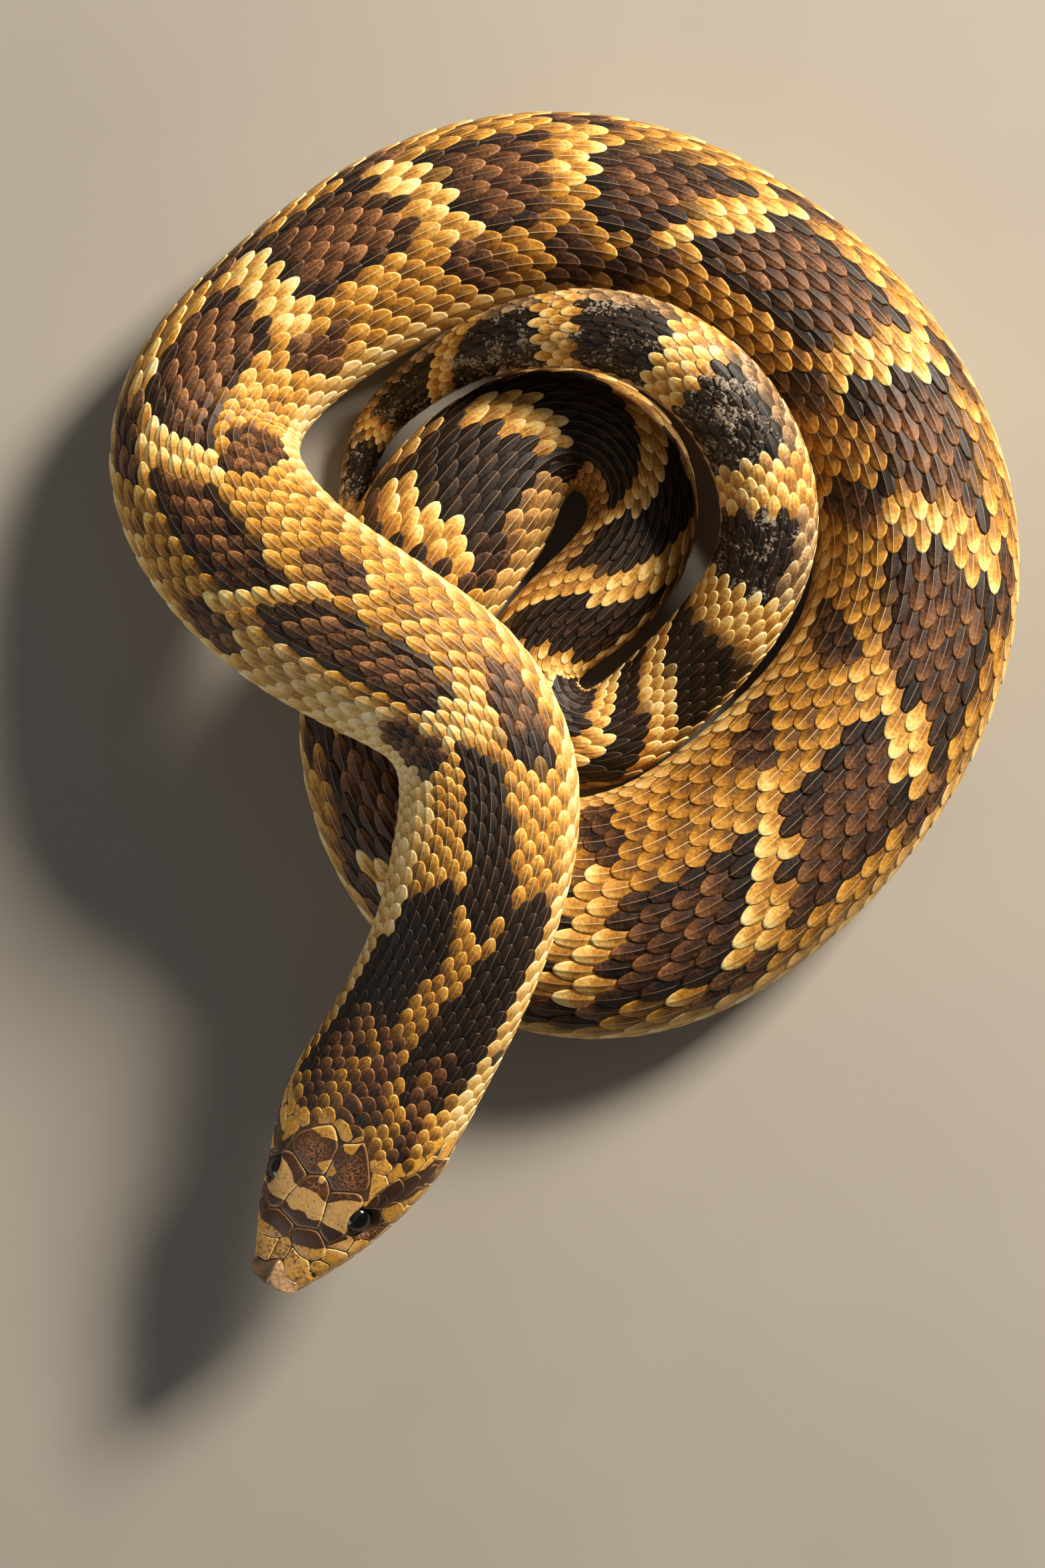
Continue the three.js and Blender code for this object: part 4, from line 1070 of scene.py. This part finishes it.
def head_marks(out, ahead):
    """The markings of the head, as shares at mm to the left and mm ahead: how dark, how rusty the
    dark is, how tan, and how smoky. The dark ones are a band across the brow, the parietals with a
    pale star between them, and a stripe behind each eye. Each is an outline; a share is a half on
    it and falls to 0 or rises to 1 over 0.8 mm, so that the material can draw its edge sharp."""
    places = np.stack([out, ahead], -1)

    def patch(corners):
        return np.clip(0.5 + inside_outline(places, np.array(corners, float)) / 1.6, 0, 1)

    front = patch([(-8.3, 25.2), (-6.3, 26.6), (-4.0, 26.5), (-2.0, 26.7), (-1.2, 27.0), (-0.5, 26.4),
                   (0.2, 27.0), (1.2, 26.8), (2.4, 26.3), (4.0, 25.9), (5.3, 25.0), (6.2, 23.9),
                   (8.0, 21.6), (7.2, 21.2), (6.2, 21.2), (4.6, 21.4), (3.4, 21.4), (2.9, 21.3),
                   (2.0, 21.9), (0.9, 22.1), (0.1, 21.6), (-0.8, 21.7), (-1.8, 22.3), (-2.6, 22.2),
                   (-3.4, 21.7), (-4.4, 21.9), (-6.2, 22.2), (-8.4, 21.6), (-9.6, 21.4), (-9.2, 23.4)])
    rear = patch([(-9.3, 15.9), (-7.9, 15.9), (-6.4, 16.3), (-4.8, 17.2), (-3.6, 18.5), (-2.5, 18.6),
                  (-1.8, 18.2), (-0.4, 18.0), (0.7, 17.9), (1.6, 18.3), (2.6, 18.4), (3.4, 17.8),
                  (4.6, 16.7), (5.8, 15.9), (7.2, 15.3), (8.3, 14.6), (7.6, 11.6), (6.8, 10.0),
                  (5.6, 8.0), (4.2, 6.2), (3.4, 6.8), (3.1, 9.2), (1.6, 9.6), (0.6, 8.2), (-0.2, 8.6),
                  (-1.7, 9.0), (-2.8, 9.4), (-5.0, 9.2), (-7.0, 10.6), (-8.2, 13.0), (-9.4, 14.6)])
    star = patch([(-0.5, 16.2), (0.7, 16.2), (0.8, 14.6), (1.9, 13.7), (1.8, 13.0), (0.9, 12.5),
                  (0.5, 11.6), (-0.2, 12.2), (-1.6, 13.5), (-1.3, 14.0), (-0.3, 14.2), (-0.2, 15.2)])
    left_stripe = patch([(8.3, 16.2), (9.8, 15.6), (11.0, 14.2), (12.2, 12.6), (13.2, 11.0), (13.9, 9.0),
                         (14.3, 7.0), (14.6, 3.0), (14.0, 3.0), (13.5, 5.2), (12.7, 6.6), (11.4, 8.3),
                         (10.1, 10.2), (9.2, 12.2), (8.6, 14.2)])
    right_stripe = patch([(-8.6, 16.4), (-10.6, 16.4), (-12.6, 13.4), (-14.0, 9.0), (-14.6, 3.0),
                          (-13.6, 3.6), (-13.2, 7.6), (-11.8, 10.6), (-9.6, 12.7), (-8.8, 14.2)])
    # Rusty speckle: a patch on each parietal, and a band on the back of the frontal.
    brown = sum(
        most * np.exp(-(((out - x) / half_x) ** 2) - ((ahead - y) / half_y) ** 2)
        for most, x, y, half_x, half_y in (
            (0.9, -3.4, 12.2, 2.6, 3.1), (0.9, 4.2, 12.4, 2.6, 3.2), (0.8, -0.1, 17.0, 2.0, 0.7)))
    rear = np.minimum(rear, 1 - star)
    dark = np.maximum.reduce([front, rear, left_stripe, right_stripe])
    brown = brown * (1 - np.maximum(left_stripe, right_stripe)) * smooth(11.0, 9.0, np.abs(out))
    tan = smooth(9.8, 8.2, np.abs(out)) * smooth(15, 16, ahead) * smooth(25.5, 24, ahead)
    smoky = smooth(6.5, 4.5, np.abs(out)) * smooth(24.5, 26.5, ahead)
    return dark, np.clip(brown, 0, 1), tan, smoky


def head_plates(name, plates, random):
    """All the plates as one mesh: each is its rounded outline drawn in towards its middle in rings,
    raised by a bevel of 0.3 mm at the edge and a low dome, with a skirt down into the skin."""
    rim_count, groove_half = 44, 0.03
    rings = np.array([1.0, 1.0, 0.955, 0.88, 0.76, 0.6, 0.42, 0.22])
    lifts = np.array([-0.15, 0.10, 0.19, 0.23, 0.25, 0.265, 0.275, 0.28])
    # Share of the painted highlight along each plate's edge, ring by ring from the outline in.
    edge_highlight = np.array([0.46, 0.46, 0.43, 0.34, 0.0, 0.0, 0.0, 0.0])
    each = rim_count * len(rings) + 1
    i, j = np.meshgrid(np.arange(len(rings) - 1), np.arange(rim_count), indexing="ij")
    a, b = i * rim_count + j, i * rim_count + (j + 1) % rim_count
    quads = np.stack([a, b, b + rim_count, a + rim_count], -1).reshape(-1, 4)
    j = np.arange(rim_count)
    inner = (len(rings) - 1) * rim_count
    fan = np.stack([inner + j, inner + (j + 1) % rim_count, np.full(rim_count, each - 1)], -1)
    corners = np.concatenate([quads.ravel(), fan.ravel(), j[::-1]])
    sizes = np.r_[np.full(len(quads), 4), np.full(rim_count, 3), rim_count]
    below = np.r_[np.zeros(4 * len(quads) + 3 * rim_count), np.ones(rim_count)]
    places, heights = [], []
    for _, outline, level in plates:
        outline = round_outline(outline, rim_count)
        following, previous = np.roll(outline, -1, 0), np.roll(outline, 1, 0)
        along = following - previous
        area = (outline[:, 0] * following[:, 1] - following[:, 0] * outline[:, 1]).sum()
        inward = np.stack([-along[:, 1], along[:, 0]], -1) * np.sign(area)
        outline = outline + groove_half * inward / np.linalg.norm(inward, axis=1, keepdims=True)
        if area < 0:
            outline = outline[::-1]
        middle = outline.mean(0)
        shape = middle + rings[:, None, None] * (outline - middle)
        extent = np.ptp(outline, axis=0).min()
        places.append(np.vstack([shape.reshape(-1, 2), middle]))
        grow = np.clip(extent / 4.0, 0.55, 1.0)
        heights.append(level + np.r_[np.repeat(lifts * grow, rim_count), lifts[-1] * grow])
    places, heights = np.array(places), np.array(heights)
    flat = places.reshape(-1, 2)
    whole = read_chart(chart_girth, turn_table, flat[:, 1], np.full(len(flat), math.pi))
    past = np.abs(flat[:, 0]) > whole
    girth = np.where(past, 2 * whole - np.abs(flat[:, 0]), np.abs(flat[:, 0]))
    turn = read_chart(turn_table, chart_girth, flat[:, 1], girth)
    turn = np.where(past, 2 * math.pi - turn, np.sign(flat[:, 0]) * turn)
    points, _ = surface(-flat[:, 1], turn, heights.ravel() - coat_depth)
    points = sink_sockets(points)
    across, up = section(-flat[:, 1], turn)
    dark, brown, tan, smoky = head_marks(across, flat[:, 1])
    under = smooth(-2.0, -5.0, up)
    dark = dark * (up > -1.0)
    ringed = np.repeat([name.startswith("ocular") for name, _, _ in plates], each)
    dark = np.where(ringed, 0.9, dark)
    brown = np.where(ringed, 0.25, brown)
    marks = np.stack([dark, tan * (up > 0), 0.8 * under], -1)
    chance = np.repeat(random.random(len(plates)), each)
    tones = np.stack([brown, smoky * (up > 0), chance], -1)
    corners_all, sizes_all = repeat_faces(corners, sizes, each, len(plates))
    u = 0.01 + 0.98 * (flat[:, 1] + 2.0) / (head_length + 2.0)
    v = 0.01 + 0.48 * (flat[:, 0] / 96.0 + 0.4)
    bake = np.stack([u[corners_all], v[corners_all] + 0.49 * np.tile(below, len(plates))], -1)
    edge = np.tile(np.r_[np.repeat(edge_highlight, rim_count), 0.0], len(plates))
    lie = np.stack([0.5 + edge, np.full(len(edge), 0.7)], -1)[corners_all]
    return make_piece(
        name, points, corners_all, sizes_all, maps=[("OFBake", bake), ("lie", lie)],
        shares=[("marks", marks), ("tones", tones)])


shields = head_plates("head_plates", head_plate_outlines(), random)
shields.data.materials.append(keratin("smooth_keratin", shields=True))
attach(shields, "root")

# --- Rostral -------------------------------------------------------------------------------------
# The snout's own digging blade: one thick upturned horny shield, buff and polished, with a keel
# along its top from the small plate behind it to its sharp rim, and a flat face down to the lip.


def head_place(out, ahead, up):
    """The place of a point given in the head's own measures: mm to the left, ahead and up."""
    middle, _, left, top = spine_frame(-np.asarray(ahead, float))
    return middle + np.asarray(out)[..., None] * left + np.asarray(up)[..., None] * top


rim_share = 0.55  # of the way down the shield, where its rim lies


def rostral_surface(u, v):
    """u goes across from -1 to 1. v goes from the rear border over the top to the rim, and on down
    the front face to the lip; each part is a straight blend of its two edge curves, the top one
    hollowed a little and raised along its middle by the keel."""
    swing = u * math.pi / 2
    border_out = 4.5 * u
    border_ahead = np.interp(
        np.abs(border_out), [0, 0.5, 1.0, 1.6, 2.4, 3.9, 4.5],
        [30.2, 30.4, 30.9, 31.7, 32.15, 32.1, 32.6])
    crown = np.interp(border_ahead, head_form[:, 0], head_form[:, 2])
    width = np.interp(border_ahead, head_form[:, 0], head_form[:, 1])
    lean = np.clip(1 - np.clip(np.abs(border_out) / width, 0, 1) ** (1 / 0.75 * 2), 0, 1) ** 0.375
    border_up = crown * lean - 0.35
    rim_out, rim_ahead = 4.3 * np.sin(swing), 33.1 + 1.5 * np.cos(swing) ** 0.9
    rim_up = 0.7 + 1.5 * np.cos(swing) ** 0.7
    lip_out, lip_ahead, lip_up = 4.1 * np.sin(swing), 32.6 + 1.0 * np.cos(swing), np.full_like(u, -1.85)
    t = np.clip(v / rim_share, 0, 1)
    keel = 1.3 * np.exp(-np.abs(u) / 0.2) * np.sin(np.pi * t**0.8).clip(0) ** 0.6
    hollow = -0.25 * np.sin(np.pi * t) * (1 - u**2)
    out = border_out + (rim_out - border_out) * t
    ahead = border_ahead + (rim_ahead - border_ahead) * t
    up = border_up + (rim_up - border_up) * t + keel + hollow
    s = np.clip((v - rim_share) / (1 - rim_share), 0, 1)
    out, ahead, up = out + (lip_out - out) * s, ahead + (lip_ahead - ahead) * s, up + (lip_up - up) * s
    return out, ahead, up


across_steps = np.linspace(-1, 1, 41)
down_steps = np.array(
    [0, 0.03, 0.1, 0.2, 0.3, 0.4, 0.47, 0.52, rim_share, 0.58, 0.63, 0.7, 0.8, 0.9, 1.0])
grid_u, grid_v = np.meshgrid(across_steps, down_steps, indexing="ij")
outer = np.stack(rostral_surface(grid_u, grid_v), -1)
inner = outer + (np.array([0.0, 31.0, 0.0]) - outer) * 0.16
shell = np.concatenate([outer.reshape(-1, 3), inner.reshape(-1, 3)])
index = np.arange(grid_u.size).reshape(grid_u.shape)
front = np.stack([index[:-1, :-1], index[:-1, 1:], index[1:, 1:], index[1:, :-1]], -1).reshape(-1, 4)
edge_loop = np.concatenate([index[:-1, 0], index[-1, :-1], index[:0:-1, -1], index[0, :0:-1]])
next_loop = np.roll(edge_loop, -1)
walls = np.stack([edge_loop, next_loop, next_loop + grid_u.size, edge_loop + grid_u.size], -1)
rostral_corners = np.concatenate([front.ravel(), (front[:, ::-1] + grid_u.size).ravel(), walls.ravel()])
rostral_u = 0.05 + 0.4 * (np.tile(grid_u.ravel(), 2) + 1) / 2 + np.repeat([0.0, 0.5], grid_u.size)
rostral_v = 0.05 + 0.9 * np.tile(grid_v.ravel(), 2)
rostral_faces = np.tile(np.stack([grid_u, grid_v], -1).reshape(-1, 2), (2, 1)) * 0.5 + 0.5
rostral = make_piece(
    "rostral", head_place(*shell.T), rostral_corners, np.full(len(rostral_corners) // 4, 4),
    maps=[("OFBake", np.stack([rostral_u, rostral_v], -1)[rostral_corners]),
          ("faces", rostral_faces[rostral_corners])])
# Polished horn: pinkish buff, clouded with brown freckles, with painted shade in smoky brown on its
# right half, the side turned from the key light; the glossiest part of the head after the eyes.
polished_horn, tree, shader = new_material("polished_horn")
place = add_node(tree, "ShaderNodeTexCoord", "Object")
freckles = add_node(tree, "ShaderNodeTexNoise", Vector=place, Scale=1500.0, Detail=2.0)
tint = add_node(tree, "ShaderNodeValToRGB", Fac=freckles, stops=((0.42, "#bd9870"), (0.62, "#957250")))
faces = add_node(tree, "ShaderNodeUVMap", uv_map="faces")
across = add_node(tree, "ShaderNodeSeparateXYZ", Vector=faces)
# Painted shade: the rostral's right half, turned from the key light, is darkened.
shaded_half = add_node(
    tree, "ShaderNodeMapRange", Value=across, interpolation_type="SMOOTHSTEP",
    From_Min=0.54, From_Max=0.46, To_Max=0.85)
horn = add_node(
    tree, "ShaderNodeMix", 2, data_type="RGBA", Factor=shaded_half, _6=tint, _7=linear("#4f3c2c"))
tree.links.new(horn, shader.inputs["Base Color"])
shader.inputs["Roughness"].default_value = 0.22
shader.inputs["IOR"].default_value = 1.54
rostral.data.materials.append(polished_horn)
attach(rostral, "root")

# --- Eyes ----------------------------------------------------------------------------------------
# A snake has no lids: a clear scale covers the eyeball. The pupil is round, large and black, inside
# a narrow dark brown iris, and the eye looks out sideways, a little up and forwards.


def eye_points(side):
    """Rings of a ball about the line of sight, each at its own angle from it, and its two poles."""
    centre, gaze = eye_frame(side)
    aside = np.cross(gaze, (0.0, 0.0, 1.0))
    aside /= np.linalg.norm(aside)
    over = np.cross(aside, gaze)
    angle, round_angle = np.meshgrid(eye_angles, eye_rounds, indexing="ij")
    ring = np.cos(round_angle)[..., None] * aside + np.sin(round_angle)[..., None] * over
    points = centre + eye_radius * (np.cos(angle)[..., None] * gaze + np.sin(angle)[..., None] * ring)
    return np.concatenate([points.reshape(-1, 3), [centre + eye_radius * gaze, centre - eye_radius * gaze]])


eye_angles = np.radians(np.r_[np.arange(4, 84, 4), np.arange(84, 180, 12)])
eye_rounds = np.linspace(0, 2 * math.pi, 48, endpoint=False)
corners, sizes = tube_faces(len(eye_angles), len(eye_rounds))
angle_share = np.r_[np.repeat(eye_angles / math.pi, len(eye_rounds)), 0.0, 1.0]
round_share = np.r_[np.tile(eye_rounds / (2 * math.pi), len(eye_angles)), 0.0, 0.0]
# Wet eye under its clear scale: black pupil, thin bronze edge, dark brown iris, streaked; the
# clear scale is the smooth coat that gives the eye its one sharp light.
eye_gloss, tree, shader = new_material("eye_under_clear_scale")
rings = add_node(tree, "ShaderNodeUVMap", uv_map="iris")
from_sight = add_node(tree, "ShaderNodeSeparateXYZ", Vector=rings)
place = add_node(tree, "ShaderNodeTexCoord", "Object")
streaks = add_node(tree, "ShaderNodeTexNoise", Vector=place, Scale=2600.0, Detail=2.0)
iris = add_node(tree, "ShaderNodeValToRGB", Fac=from_sight, stops=(
    (0.0, "#020202"), (0.262, "#050404"), (0.275, "#3f301f"), (0.29, "#1f1711"), (0.37, "#1c150f"),
    (0.44, "#150e09")))
streaky = add_node(
    tree, "ShaderNodeMix", 2, data_type="RGBA", blend_type="MULTIPLY",
    Factor=streaks, _6=iris, _7=linear("#c8bba8"))
tree.links.new(streaky, shader.inputs["Base Color"])
shader.inputs["Roughness"].default_value = 0.12
shader.inputs["IOR"].default_value = 1.3
shader.inputs["Coat Weight"].default_value = 0.6
shader.inputs["Coat Roughness"].default_value = 0.02
for side, word in ((1, "left"), (-1, "right")):
    eye = make_piece(
        f"eye_ball_{word}", eye_points(side), corners, sizes,
        maps=[("OFBake", np.stack([round_share, angle_share], -1)[corners] * 0.98 + 0.01),
              ("iris", np.stack([angle_share, round_share], -1)[corners])])
    eye.data.materials.append(eye_gloss)
    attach(eye, "root")
    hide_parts(f"eye_{word}")
